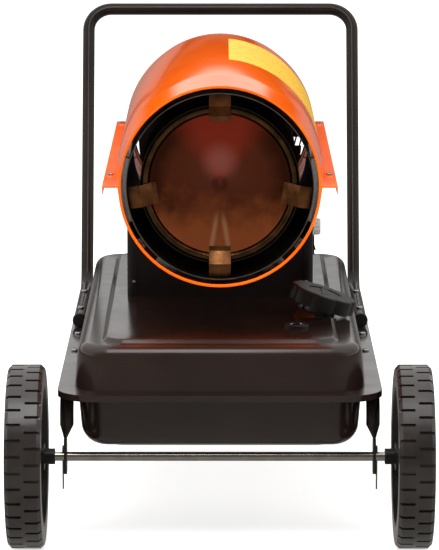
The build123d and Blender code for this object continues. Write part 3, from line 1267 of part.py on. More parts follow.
# mains switch: a frame clipped into the panel and a rocker on a cross pin
with BuildPart() as switch_housing:
    with BuildSketch(across(BOX_HALF_WIDTH)):
        with Locations((ROCKER_Y, ROCKER_HEIGHT)):
            RectangleRounded(SWITCH_WIDTH + 4 * SHEET, SWITCH_HEIGHT + 4 * SHEET, SHEET)
    extrude(amount=2 * SHEET)
    with BuildSketch(across(BOX_HALF_WIDTH)):
        with Locations((ROCKER_Y, ROCKER_HEIGHT)):
            Rectangle(SWITCH_WIDTH, SWITCH_HEIGHT)
    extrude(amount=-SWITCH_DEPTH)
    with BuildSketch(across(BOX_HALF_WIDTH + 2 * SHEET)):
        with Locations((ROCKER_Y, ROCKER_HEIGHT)):
            Rectangle(SWITCH_WIDTH - 2 * SHEET, SWITCH_HEIGHT - 2 * SHEET)
    extrude(amount=-SWITCH_DEPTH, mode=Mode.SUBTRACT)
    with BuildSketch(facing(ROCKER_Y - SWITCH_WIDTH)):
        with Locations((-ROCKER_X, ROCKER_HEIGHT)):
            Circle(ROCKER_PIN_RADIUS + RUNNING_FIT)
    extrude(amount=2 * SWITCH_WIDTH, mode=Mode.SUBTRACT)
switch_housing.part.label = "switch_housing"
export_step(switch_housing.part, "parts/switch_housing.step")

with BuildPart() as power_rocker:
    rocker_half = SWITCH_HEIGHT / 2 - SHEET - 4 * LOOSE_FIT
    tilt = radians(ROCKER_THROW / 2)
    with BuildSketch(Plane(origin=(ROCKER_X, ROCKER_Y, ROCKER_HEIGHT),
                           x_dir=(cos(tilt), 0, sin(tilt)), z_dir=(0, -1, 0))):
        with BuildLine():
            Polyline(
                (-2 * SHEET, -rocker_half / 2),
                (ROCKER_CROWN, -rocker_half),
                (ROCKER_CROWN - SHEET, 0),
                (ROCKER_CROWN, rocker_half),
                (-2 * SHEET, rocker_half / 2),
                close=True,
            )
        make_face()
    extrude(amount=SWITCH_WIDTH / 2 - SHEET - LOOSE_FIT, both=True)
    with BuildSketch(facing(ROCKER_Y - SWITCH_WIDTH / 2)):
        with Locations((-ROCKER_X, ROCKER_HEIGHT)):
            Circle(ROCKER_PIN_RADIUS)
    extrude(amount=SWITCH_WIDTH)
power_rocker.part.label = "power_rocker"
export_step(power_rocker.part, "parts/power_rocker.step")

# ignition transformer and control board on the floor of the box
with BuildPart() as ignition_transformer:
    with BuildSketch(Plane.XY.offset(BOX_BOTTOM)):
        with Locations((-BOX_HALF_WIDTH / 2, BOX_MID_Y)):
            RectangleRounded(TRANSFORMER_WIDTH, TRANSFORMER_LENGTH, BOX_BEND)
    extrude(amount=TRANSFORMER_HEIGHT)
    fillet(ignition_transformer.edges().group_by(Axis.Z)[-1], radius=2 * SHEET)
ignition_transformer.part.label = "ignition_transformer"
export_step(ignition_transformer.part, "parts/ignition_transformer.step")

with BuildPart() as control_board:
    with BuildSketch(Plane.XY.offset(BOX_BOTTOM)):
        with Locations((BOX_HALF_WIDTH / 2, BOX_MID_Y)):
            with GridLocations(BOARD_WIDTH - 2 * NUT_HEIGHT, BOARD_LENGTH - 2 * NUT_HEIGHT,
                               2, 2):
                Circle(SCREW_RADIUS)
    extrude(amount=2 * NUT_HEIGHT)
    with BuildSketch(Plane.XY.offset(BOX_BOTTOM + 2 * NUT_HEIGHT)):
        with Locations((BOX_HALF_WIDTH / 2, BOX_MID_Y)):
            Rectangle(BOARD_WIDTH, BOARD_LENGTH)
    extrude(amount=SHEET)
control_board.part.label = "control_board"
export_step(control_board.part, "parts/control_board.step")
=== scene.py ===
import json
from math import atan2, cos, pi, radians, sin

import bpy
from bpy.props import (
    FloatProperty,
    FloatVectorProperty,
    IntProperty,
    PointerProperty,
)
from mathutils import Matrix, Vector


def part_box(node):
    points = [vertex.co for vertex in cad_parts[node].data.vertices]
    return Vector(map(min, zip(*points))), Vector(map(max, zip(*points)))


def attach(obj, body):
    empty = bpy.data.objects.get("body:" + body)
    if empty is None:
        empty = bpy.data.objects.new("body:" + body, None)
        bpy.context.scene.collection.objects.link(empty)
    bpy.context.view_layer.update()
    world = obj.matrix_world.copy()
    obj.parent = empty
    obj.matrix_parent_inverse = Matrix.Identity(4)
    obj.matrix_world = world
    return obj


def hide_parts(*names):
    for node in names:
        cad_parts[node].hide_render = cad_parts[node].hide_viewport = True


bl_info = {
    "name": "Wheeled forced-air heater",
    "version": (1, 0, 0),
    "blender": (4, 5, 0),
    "location": "3D View > Sidebar > Heater",
    "description": "Finishes, small fittings and stage for a wheeled forced-air heater",
    "category": "Object",
}

MM = 0.001
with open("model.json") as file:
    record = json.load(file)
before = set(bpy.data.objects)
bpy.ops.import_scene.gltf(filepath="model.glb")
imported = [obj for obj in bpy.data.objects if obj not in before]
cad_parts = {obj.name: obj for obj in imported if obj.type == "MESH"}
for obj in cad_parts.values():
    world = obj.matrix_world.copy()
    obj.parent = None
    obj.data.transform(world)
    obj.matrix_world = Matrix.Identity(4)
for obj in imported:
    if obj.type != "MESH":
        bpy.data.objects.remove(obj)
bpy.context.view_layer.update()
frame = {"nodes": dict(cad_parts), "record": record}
CAD = frame["nodes"]

# ------------------------------------------------------------------ measured places, metres
WHEEL_RADIUS = 127 * MM
AXLE_Y = -423.75 * MM
DRUM_FRONT_Y = AXLE_Y - 20 * MM
DRUM_AXIS_Z = 506 * MM
DRUM_RADIUS = 143.5 * MM
PANEL_TOP = 292 * MM
BOX_HALF_WIDTH = 136 * MM
KNOB = Vector((BOX_HALF_WIDTH, -71.75 * MM, 391 * MM))
GAUGE = Vector((107 * MM, AXLE_Y + 90 * MM, PANEL_TOP))

# settings that many nodes share
SMOOTH = {"interpolation_type": "SMOOTHSTEP"}
COLOUR = {"data_type": "RGBA"}


# ------------------------------------------------------------------ colour and node helpers
def linear(hex_colour):
    """An sRGB hex colour as linear RGBA."""
    parts = [int(hex_colour[i:i + 2], 16) / 255 for i in (1, 3, 5)]
    return tuple(c / 12.92 if c <= 0.04045 else ((c + 0.055) / 1.055) ** 2.4
                 for c in parts) + (1,)


def add_node(tree, kind, settings=None, **inputs):
    """Adds a node, sets its properties, and fills or links its inputs by name or index."""
    node = tree.nodes.new(kind)
    for name, value in (settings or {}).items():
        if name == "stops":
            ramp = node.color_ramp
            while len(ramp.elements) < len(value):
                ramp.elements.new(0.5)
            for element, (place, colour) in zip(ramp.elements, value):
                element.position = place
                element.color = linear(colour)
        else:
            setattr(node, name, value)
    for name, value in inputs.items():
        by_index = name[0] == "i" and name[1:].isdigit()
        socket = node.inputs[int(name[1:]) if by_index else name.replace("_", " ")]
        if isinstance(value, bpy.types.NodeSocket):
            tree.links.new(value, socket)
        else:
            socket.default_value = value
    return node


def new_material(name, **constants):
    """A material's tree and its Principled shader, whose fixed values are given by name."""
    material = bpy.data.materials.new(name)
    material.use_nodes = True
    tree = material.node_tree
    shader = tree.nodes["Principled BSDF"]
    for key, value in constants.items():
        shader.inputs[key.replace("_", " ")].default_value = value
    return tree, shader


def wire(tree, shader, **sources):
    """Links sockets to the shader's inputs, given by name."""
    for key, socket in sources.items():
        tree.links.new(socket, shader.inputs[key.replace("_", " ")])


# ------------------------------------------------------------------ finishes
def clouded_surface(tree, shader, colours, clouds, gloss, patches, relief, depth):
    """A clouded colour, a gloss that changes in patches and a fine relief.

    Clouds, patches and relief are the size and the detail of a noise each, and gloss is
    the lowest and the highest roughness.
    """
    place = add_node(tree, "ShaderNodeTexCoord").outputs["Object"]
    cloud, patch, grain = (
        add_node(tree, "ShaderNodeTexNoise", Vector=place, Scale=1 / size, Detail=detail)
        for size, detail in (clouds, patches, relief))
    low, high = colours
    tint = add_node(tree, "ShaderNodeValToRGB", {"stops": ((0.35, low), (0.65, high))},
                    Fac=cloud.outputs["Fac"])
    rough = add_node(tree, "ShaderNodeMapRange", Value=patch.outputs["Fac"],
                     From_Min=0.3, From_Max=0.7, To_Min=gloss[0], To_Max=gloss[1])
    bump = add_node(tree, "ShaderNodeBump", Height=grain.outputs["Fac"], Distance=depth)
    wire(tree, shader, Base_Color=tint.outputs["Color"],
         Roughness=rough.outputs["Result"], Normal=bump.outputs["Normal"])


def sprayed_enamel(name, low, high, roughness, peel_mm, peel_depth_mm, coat=0.0, ior=1.5):
    """Sprayed enamel: a nearly even colour whose slight orange peel wavers reflections."""
    tree, shader = new_material(name, IOR=ior, Coat_Weight=coat, Coat_Roughness=roughness)
    clouded_surface(tree, shader, (low, high), (90 * MM, 3.0),
                    (roughness * 0.85, roughness * 1.2), (35 * MM, 4.0),
                    (peel_mm * MM, 1.0), peel_depth_mm * MM)


def bare_metal(name, low, high, roughness, blotch_mm):
    """Unpainted metal: cloudy colour, gloss that changes in patches, a faint rolled grain.

    Real rolling marks are too fine to show, so they are drawn 1.2 mm coarse.
    """
    tree, shader = new_material(name, Metallic=1.0)
    clouded_surface(tree, shader, (low, high), (blotch_mm * MM, 4.0),
                    (roughness * 0.7, roughness * 1.3), (blotch_mm * MM / 2, 4.0),
                    (1.2 * MM, 2.0), 0.01 * MM)


def moulding(name, low, high, roughness, texture_mm, depth_mm=0.03):
    """Moulded plastic, rubber or ink: an even skin with the fine texture of its tool."""
    tree, shader = new_material(name)
    clouded_surface(tree, shader, (low, high), (25 * MM, 3.0),
                    (roughness * 0.85, roughness * 1.15), (8 * MM, 3.0),
                    (texture_mm * MM, 1.0), depth_mm * MM)


def tinted_disc_with_painted_reflections():
    """Spun stainless behind the flame, with its heat tints and faint turned grooves.

    The heat leaves a dark rim. The rest is painted light: the lower half is painted lighter
    and coppery as if lit from above, a painted red reflection wedge stands above with a
    painted pink highlight in it, and two bright painted reflection streaks run up from the
    low strap. The grooves are drawn 2.4 mm apart, coarser than real ones, so that they show.
    """
    tree, shader = new_material("Heat-tinted spun steel, painted reflections", Metallic=1.0, Roughness=0.34)
    place = add_node(tree, "ShaderNodeTexCoord").outputs["Object"]
    centred = add_node(tree, "ShaderNodeMapping", Vector=place,
                       Location=(0, 0, -DRUM_AXIS_Z))
    axes = add_node(tree, "ShaderNodeSeparateXYZ", Vector=centred.outputs[0])
    flat = add_node(tree, "ShaderNodeCombineXYZ", X=axes.outputs["X"], Z=axes.outputs["Z"])
    radius = add_node(tree, "ShaderNodeVectorMath", {"operation": "LENGTH"},
                      i0=flat.outputs[0])
    cloud = add_node(tree, "ShaderNodeTexNoise", Vector=place, Scale=1 / (22 * MM),
                     Detail=4.0)
    # the rim darkens, with a wavering edge
    reach = add_node(tree, "ShaderNodeMath", {"operation": "MULTIPLY_ADD"},
                     i0=cloud.outputs["Fac"], i1=18 * MM, i2=radius.outputs["Value"])
    ring = add_node(tree, "ShaderNodeMapRange", Value=reach.outputs[0], From_Max=105 * MM)
    tint = add_node(tree, "ShaderNodeValToRGB", {"stops": (
        (0.0, "#8A4A3C"), (0.3, "#8A4834"), (0.72, "#80422C"), (0.93, "#522A1A"))},
        Fac=ring.outputs["Result"])
    # the lower half is painted lighter and coppery, as painted light from above
    drift = add_node(tree, "ShaderNodeMath", {"operation": "MULTIPLY_ADD"},
                     i0=cloud.outputs["Fac"], i1=70 * MM, i2=axes.outputs["Z"])
    low = add_node(tree, "ShaderNodeMapRange", SMOOTH, Value=drift.outputs[0],
                   From_Min=30 * MM, From_Max=-42 * MM, To_Max=0.95)
    painted_lit_half = add_node(tree, "ShaderNodeMix", COLOUR, i0=low.outputs["Result"],
                    i6=tint.outputs["Color"], i7=linear("#E27C48"))
    # a painted red reflection wedge stands above the middle
    angle = add_node(tree, "ShaderNodeMath", {"operation": "ARCTAN2"},
                     i0=axes.outputs["X"], i1=axes.outputs["Z"])
    swing = add_node(tree, "ShaderNodeMath", {"operation": "ABSOLUTE"}, i0=angle.outputs[0])
    painted_wedge = add_node(tree, "ShaderNodeMapRange", SMOOTH, Value=swing.outputs[0],
                     From_Min=0.9, From_Max=0.3, To_Max=0.8)
    red = add_node(tree, "ShaderNodeMix", COLOUR, i0=painted_wedge.outputs["Result"],
                   i6=painted_lit_half.outputs[2], i7=linear("#CC4A34"))
    # and holds a painted pink highlight
    painted_pink_highlight = add_node(tree, "ShaderNodeVectorMath", {"operation": "DISTANCE"},
                     i0=flat.outputs[0], i1=(0, 0, 30 * MM))
    painted_pink_highlight = add_node(tree, "ShaderNodeMapRange", SMOOTH, Value=painted_pink_highlight.outputs["Value"],
                     From_Min=34 * MM, From_Max=2 * MM, To_Max=0.8)
    pink = add_node(tree, "ShaderNodeMix", COLOUR, i0=painted_pink_highlight.outputs["Result"],
                    i6=red.outputs[2], i7=linear("#DB8276"))
    # two painted reflection streaks lean together up from the low strap and fade
    aside = add_node(tree, "ShaderNodeMath", {"operation": "ABSOLUTE"},
                     i0=axes.outputs["X"])
    aside = add_node(tree, "ShaderNodeMath", {"operation": "MULTIPLY_ADD"},
                     i0=axes.outputs["Z"], i1=0.17, i2=aside.outputs[0])
    aside = add_node(tree, "ShaderNodeMath", {"operation": "ADD"}, i0=aside.outputs[0],
                     i1=3.2 * MM)
    aside = add_node(tree, "ShaderNodeMath", {"operation": "ABSOLUTE"},
                     i0=aside.outputs[0])
    painted_streak = add_node(tree, "ShaderNodeMapRange", SMOOTH, Value=aside.outputs[0],
                      From_Min=5.5 * MM, From_Max=0.0)
    fade = add_node(tree, "ShaderNodeMapRange", SMOOTH, Value=axes.outputs["Z"],
                    From_Min=-34 * MM, From_Max=-62 * MM)
    painted_streak = add_node(tree, "ShaderNodeMath", {"operation": "MULTIPLY"},
                      i0=painted_streak.outputs["Result"], i1=fade.outputs["Result"])
    with_painted_streaks = add_node(tree, "ShaderNodeMix", COLOUR, i0=painted_streak.outputs[0],
                      i6=pink.outputs[2], i7=linear("#FFB684"))
    # turned grooves run round the middle
    turned = add_node(tree, "ShaderNodeMath", {"operation": "MULTIPLY"},
                      i0=radius.outputs["Value"], i1=2 * pi / (2.4 * MM))
    turned = add_node(tree, "ShaderNodeMath", {"operation": "SINE"}, i0=turned.outputs[0])
    bump = add_node(tree, "ShaderNodeBump", Height=turned.outputs[0], Distance=0.02 * MM)
    wire(tree, shader, Base_Color=with_painted_streaks.outputs[2], Normal=bump.outputs["Normal"])


def sheet_with_soot_and_painted_light(name, lit_front_depth_mm, clean, soot_and_shade, roughness):
    """Aluminised sheet: bright at the outlet's edge as a painted highlight, and dark behind it
    with soot and painted shade.
    """
    tree, shader = new_material(name, Metallic=1.0)
    place = add_node(tree, "ShaderNodeTexCoord").outputs["Object"]
    axes = add_node(tree, "ShaderNodeSeparateXYZ", Vector=place)
    cloud = add_node(tree, "ShaderNodeTexNoise", Vector=place, Scale=1 / (14 * MM),
                     Detail=4.0)
    depth = add_node(tree, "ShaderNodeMath", {"operation": "MULTIPLY_ADD"},
                     i0=cloud.outputs["Fac"], i1=1.5 * MM, i2=axes.outputs["Y"])
    # the strip in front of the edge keeps the bright colour, a painted highlight on the
    # outlet's edge; behind it the sheet turns dark, soot together with painted shade inside the
    # drum
    edge = DRUM_FRONT_Y + lit_front_depth_mm * MM
    soot_and_shade_mask = add_node(tree, "ShaderNodeMapRange", SMOOTH, Value=depth.outputs[0],
                     From_Min=edge, From_Max=edge + 3 * MM)
    tint = add_node(tree, "ShaderNodeMix", COLOUR, i0=soot_and_shade_mask.outputs["Result"],
                    i6=linear(clean), i7=linear(soot_and_shade))
    gloss = add_node(tree, "ShaderNodeMapRange", Value=cloud.outputs["Fac"], From_Min=0.3,
                     From_Max=0.7, To_Min=roughness * 0.8, To_Max=roughness * 1.25)
    bump = add_node(tree, "ShaderNodeBump", Height=cloud.outputs["Fac"],
                    Distance=0.15 * MM)
    wire(tree, shader, Base_Color=tint.outputs[2], Roughness=gloss.outputs["Result"],
         Normal=bump.outputs["Normal"])


def tyre_rubber():
    """Vulcanised tyre: brown-black and dusty, with moulded rings round its sidewalls."""
    tree, shader = new_material("Black tyre rubber", Roughness=0.36, IOR=1.6,
                                Coat_Weight=1.0, Coat_Roughness=0.2)
    place = add_node(tree, "ShaderNodeTexCoord").outputs["Object"]
    centred = add_node(tree, "ShaderNodeMapping", Vector=place,
                       Location=(0, -AXLE_Y, -WHEEL_RADIUS))
    axes = add_node(tree, "ShaderNodeSeparateXYZ", Vector=centred.outputs[0])
    flat = add_node(tree, "ShaderNodeCombineXYZ", Y=axes.outputs["Y"], Z=axes.outputs["Z"])
    radius = add_node(tree, "ShaderNodeVectorMath", {"operation": "LENGTH"},
                      i0=flat.outputs[0])
    rings = add_node(tree, "ShaderNodeMath", {"operation": "MULTIPLY"},
                     i0=radius.outputs["Value"], i1=2 * pi / (6 * MM))
    rings = add_node(tree, "ShaderNodeMath", {"operation": "SINE"}, i0=rings.outputs[0])
    wall = add_node(tree, "ShaderNodeMapRange", Value=radius.outputs["Value"],
                    From_Min=WHEEL_RADIUS - 8 * MM, From_Max=WHEEL_RADIUS - 11 * MM)
    rings = add_node(tree, "ShaderNodeMath", {"operation": "MULTIPLY"},
                     i0=rings.outputs[0], i1=wall.outputs["Result"])
    skin = add_node(tree, "ShaderNodeTexNoise", Vector=place, Scale=1 / (1.5 * MM),
                    Detail=1.0)
    mould = add_node(tree, "ShaderNodeBump", Height=rings.outputs[0], Distance=0.35 * MM)
    bump = add_node(tree, "ShaderNodeBump", Height=skin.outputs["Fac"],
                    Distance=0.05 * MM, Normal=mould.outputs["Normal"])
    dust = add_node(tree, "ShaderNodeTexNoise", Vector=place, Scale=1 / (30 * MM),
                    Detail=5.0)
    tint = add_node(tree, "ShaderNodeValToRGB",
                    {"stops": ((0.35, "#171210"), (0.7, "#251D19"))},
                    Fac=dust.outputs["Fac"])
    wire(tree, shader, Base_Color=tint.outputs["Color"], Normal=bump.outputs["Normal"])


# ------------------------------------------------------------------ shape helpers
def deselect():
    """Leaves object mode with nothing selected."""
    if bpy.context.object and bpy.context.object.mode != "OBJECT":
        bpy.ops.object.mode_set(mode="OBJECT")
    bpy.ops.object.select_all(action="DESELECT")


def only(*pieces):
    """Selects these pieces alone and makes the first one active."""
    deselect()
    for piece in pieces:
        piece.select_set(True)
    bpy.context.view_layer.objects.active = pieces[0]


def pick(piece, kind, test):
    """In edit mode, selects the vertices, edges or faces of a piece that pass a test."""
    only(piece)
    bpy.ops.object.mode_set(mode="EDIT")
    bpy.ops.mesh.select_mode(type=kind)
    bpy.ops.mesh.select_all(action="DESELECT")
    bpy.ops.object.mode_set(mode="OBJECT")
    mesh = piece.data
    parts = {"VERT": mesh.vertices, "EDGE": mesh.edges, "FACE": mesh.polygons}[kind]
    for part in parts:
        part.select = test(mesh, part)
    bpy.ops.object.mode_set(mode="EDIT")


def both_ends(test):
    """A test for an edge whose two vertices both pass a test of their own."""
    return lambda mesh, edge: all(test(mesh.vertices[i].co) for i in edge.vertices)


def add_modifier(piece, kind, **settings):
    """Adds a modifier to a piece and applies it."""
    only(piece)
    modifier = piece.modifiers.new(kind.lower(), kind)
    for name, value in settings.items():
        setattr(modifier, name, value)
    bpy.ops.object.modifier_apply(modifier=modifier.name)


def bake_place(*pieces):
    """Puts the place of the pieces into their meshes."""
    only(*pieces)
    bpy.ops.object.transform_apply(location=True, rotation=True, scale=True)


def copies(pattern, places):
    """One copy of a modelled piece, with its own mesh, for each matrix; the pattern goes."""
    made = []
    for matrix in places:
        piece = pattern.copy()
        piece.data = pattern.data.copy()
        piece.matrix_world = matrix
        bpy.context.scene.collection.objects.link(piece)
        made.append(piece)
    bake_place(*made)
    only(pattern)
    bpy.ops.object.delete()
    return made


def joined(*pieces):
    """One piece made of several."""
    only(*pieces)
    if len(pieces) > 1:
        bpy.ops.object.join()
    return bpy.context.object


def finish_piece(piece, name, body, material, smooth_angle=35, replaces=()):
    """Names a modelled piece, bakes its place into its mesh, and hangs it on its body."""
    bake_place(piece)
    bpy.ops.object.shade_smooth_by_angle(angle=radians(smooth_angle))
    piece.name = name
    piece.data.name = name
    piece.data.materials.clear()
    piece.data.materials.append(bpy.data.materials[material])
    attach(piece, body)
    if replaces:
        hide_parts(*replaces)


def towards(place, direction, turn=0.0):
    """The matrix that stands a piece, modelled along +Z, at a place along a direction."""
    aim = Vector(direction).to_track_quat("Z", "Y").to_matrix().to_4x4()
    return Matrix.Translation(place) @ aim @ Matrix.Rotation(turn, 4, "Z")


class HeaterFinishes(bpy.types.PropertyGroup):
    """Gloss of the heater's paints."""

    peel_depth: FloatProperty(
        name="Orange peel", description="Depth of the waves in the sprayed drum paint, in mm",
        default=0.012, min=0.0)
    drum_roughness: FloatProperty(
        name="Drum roughness", description="Roughness of the drum's gloss enamel",
        default=0.075, min=0.0, max=1.0, subtype="FACTOR")
    tank_roughness: FloatProperty(
        name="Tank roughness", description="Roughness of the tank's gloss enamel",
        default=0.19, min=0.0, max=1.0, subtype="FACTOR")


class FilmShape(bpy.types.PropertyGroup):
    """The plain yellow film on the drum's right shoulder."""

    front: FloatProperty(name="Front edge", description="Distance behind the outlet's edge",
                         default=270 * MM, unit="LENGTH")
    back: FloatProperty(name="Back edge", description="Distance behind the outlet's edge",
                        default=544 * MM, unit="LENGTH")
    top_angle: FloatProperty(name="Top edge", description="Angle above the right-hand flange",
                             default=radians(86), subtype="ANGLE")
    low_angle: FloatProperty(name="Lower edge", description="Angle above the right-hand flange",
                             default=radians(9), subtype="ANGLE")
    thickness: FloatProperty(name="Film thickness", description="Thickness of the film",
                             default=0.1 * MM, unit="LENGTH")


class StrapShape(bpy.types.PropertyGroup):
    """The bent straps between the disc and the heat shield."""

    width: FloatProperty(name="Strap width", description="Width of each strap",
                         default=30 * MM, unit="LENGTH")
    thickness: FloatProperty(name="Strap thickness", description="Sheet of the straps",
                             default=1.6 * MM, unit="LENGTH")
    droop: FloatProperty(name="Side straps", description="How far the side straps sit low",
                         default=radians(8), subtype="ANGLE")


class GuardShape(bpy.types.PropertyGroup):
    """The wire guard over the air inlet."""

    inner: FloatProperty(name="Inner ring", description="Radius of the smallest ring",
                         default=48 * MM, unit="LENGTH")
    rings: IntProperty(name="Guard rings", description="Wire rings round the filter cover",
                       default=12, min=3, max=20)
    spokes: IntProperty(name="Guard spokes", description="Straight wires behind the rings",
                        default=8, min=3, max=24)
    wire: FloatProperty(name="Guard wire", description="Thickness of the guard's wire",
                        default=2.6 * MM, unit="LENGTH")


class FanShape(bpy.types.PropertyGroup):
    """The pressed fan."""

    blades: IntProperty(name="Blades", description="Number of blades",
                        default=5, min=3, max=5)
    radius: FloatProperty(name="Fan radius", description="Tip radius of the blades",
                          default=121 * MM, unit="LENGTH")
    root: FloatProperty(name="Blade root", description="Radius at which the blades start",
                        default=18 * MM, unit="LENGTH")
    sweep: FloatProperty(name="Blade sweep", description="Part of the circle that each blade "
                         "fills", default=radians(68), max=radians(71), subtype="ANGLE")
    pitch: FloatProperty(name="Blade pitch", description="How far each blade stands aslant",
                         default=radians(19), subtype="ANGLE")
    twist: FloatProperty(name="Blade twist", description="How much flatter the blade's tip is",
                         default=radians(18), subtype="ANGLE")
    sheet: FloatProperty(name="Blade sheet", description="Thickness of the blades",
                         default=1.4 * MM, unit="LENGTH")
    hub_radius: FloatProperty(name="Hub radius", description="Radius of the fan's hub",
                              default=20 * MM, unit="LENGTH")
    hub_length: FloatProperty(name="Hub length", description="Length of the fan's hub",
                              default=24 * MM, unit="LENGTH")


class DialMarks(bpy.types.PropertyGroup):
    """Printed scales of the thermostat and the fuel gauge."""

    steps: IntProperty(name="Thermostat steps", description="Numbered steps round the knob",
                       default=6, min=2, max=9)
    scale_radius: FloatProperty(name="Scale radius", description="Ring of the printed marks",
                                default=18 * MM, unit="LENGTH")
    number_height: FloatProperty(name="Numbers", description="Height of the printed numbers",
                                 default=5 * MM, unit="LENGTH")
    dial_radius: FloatProperty(name="Gauge dial", description="Radius of the gauge's dial",
                               default=10.9 * MM, unit="LENGTH")
    needle_angle: FloatProperty(name="Gauge needle", description="Turn of the gauge's needle",
                                default=radians(35), subtype="ANGLE")


class StageLook(bpy.types.PropertyGroup):
    """Camera and lamps."""

    camera_place: FloatVectorProperty(
        name="Camera", description="Where the photograph was taken from",
        default=(0.004, AXLE_Y - 4.577, 1.2), size=3, subtype="XYZ", unit="LENGTH")
    pitch: FloatProperty(name="Pitch", description="How far the camera looks down",
                         default=radians(10.14), subtype="ANGLE")
    yaw: FloatProperty(name="Yaw", description="How far the camera turns left",
                       default=radians(0.057), subtype="ANGLE")
    lens: FloatProperty(name="Focal length", description="On a 36 mm sensor, in mm",
                        default=222.5, min=1.0)
    key_power: FloatProperty(
        name="Key light", description="Power of the overhead panel, in watts",
        default=115.0, min=0.0)
    strip_power: FloatProperty(
        name="Strip light", description="Power of the strip that the paint mirrors, in watts",
        default=13.0, min=0.0)
    fill_power: FloatProperty(
        name="Fill lights", description="Power of each side panel, in watts",
        default=36.0, min=0.0)


# ------------------------------------------------------------------ the heater's own steps
FINISH_OF_SLOT = {
    "orange_paint": "Orange gloss enamel",
    "tank_paint": "Brown-black gloss enamel",
    "box_paint": "Black semi-gloss enamel",
    "tube_paint": "Black tube enamel",
    "wheel_paint": "Black wheel enamel",
    "tyre": "Black tyre rubber",
    "axle_steel": "Drawn bright steel",
    "zinc": "Bright zinc plate",
    "aluminised_steel": "Mill-finish sheet",
    "heat_steel": "Sooted chamber wall, painted shade",
    "tinted_steel": "Straw-tinted steel strap",
    "brass": "Turned brass",
    "fan_aluminium": "Satin die-cast aluminium",
    "motor_paint": "Black motor enamel",
    "black_plastic": "Black glass-filled nylon",
    "grey_plastic": "Pale grey ABS",
    "strainer_plastic": "Natural nylon mesh",
    "rubber": "Black nitrile rubber",
    "gauge_glass": "Clear gauge window",
    "ceramic": "Glazed steatite",
    "board_laminate": "Green solder mask",
}
FINISH_OF_NODE = {
    "baffle_disc": "Heat-tinted spun steel, painted reflections",
    "chamber_ring": "Scorched steel ring",
    "heat_shield": "Sooted heat shield, painted edge highlight",
    "shield_spacers": "Sooted heat shield, painted edge highlight",
}


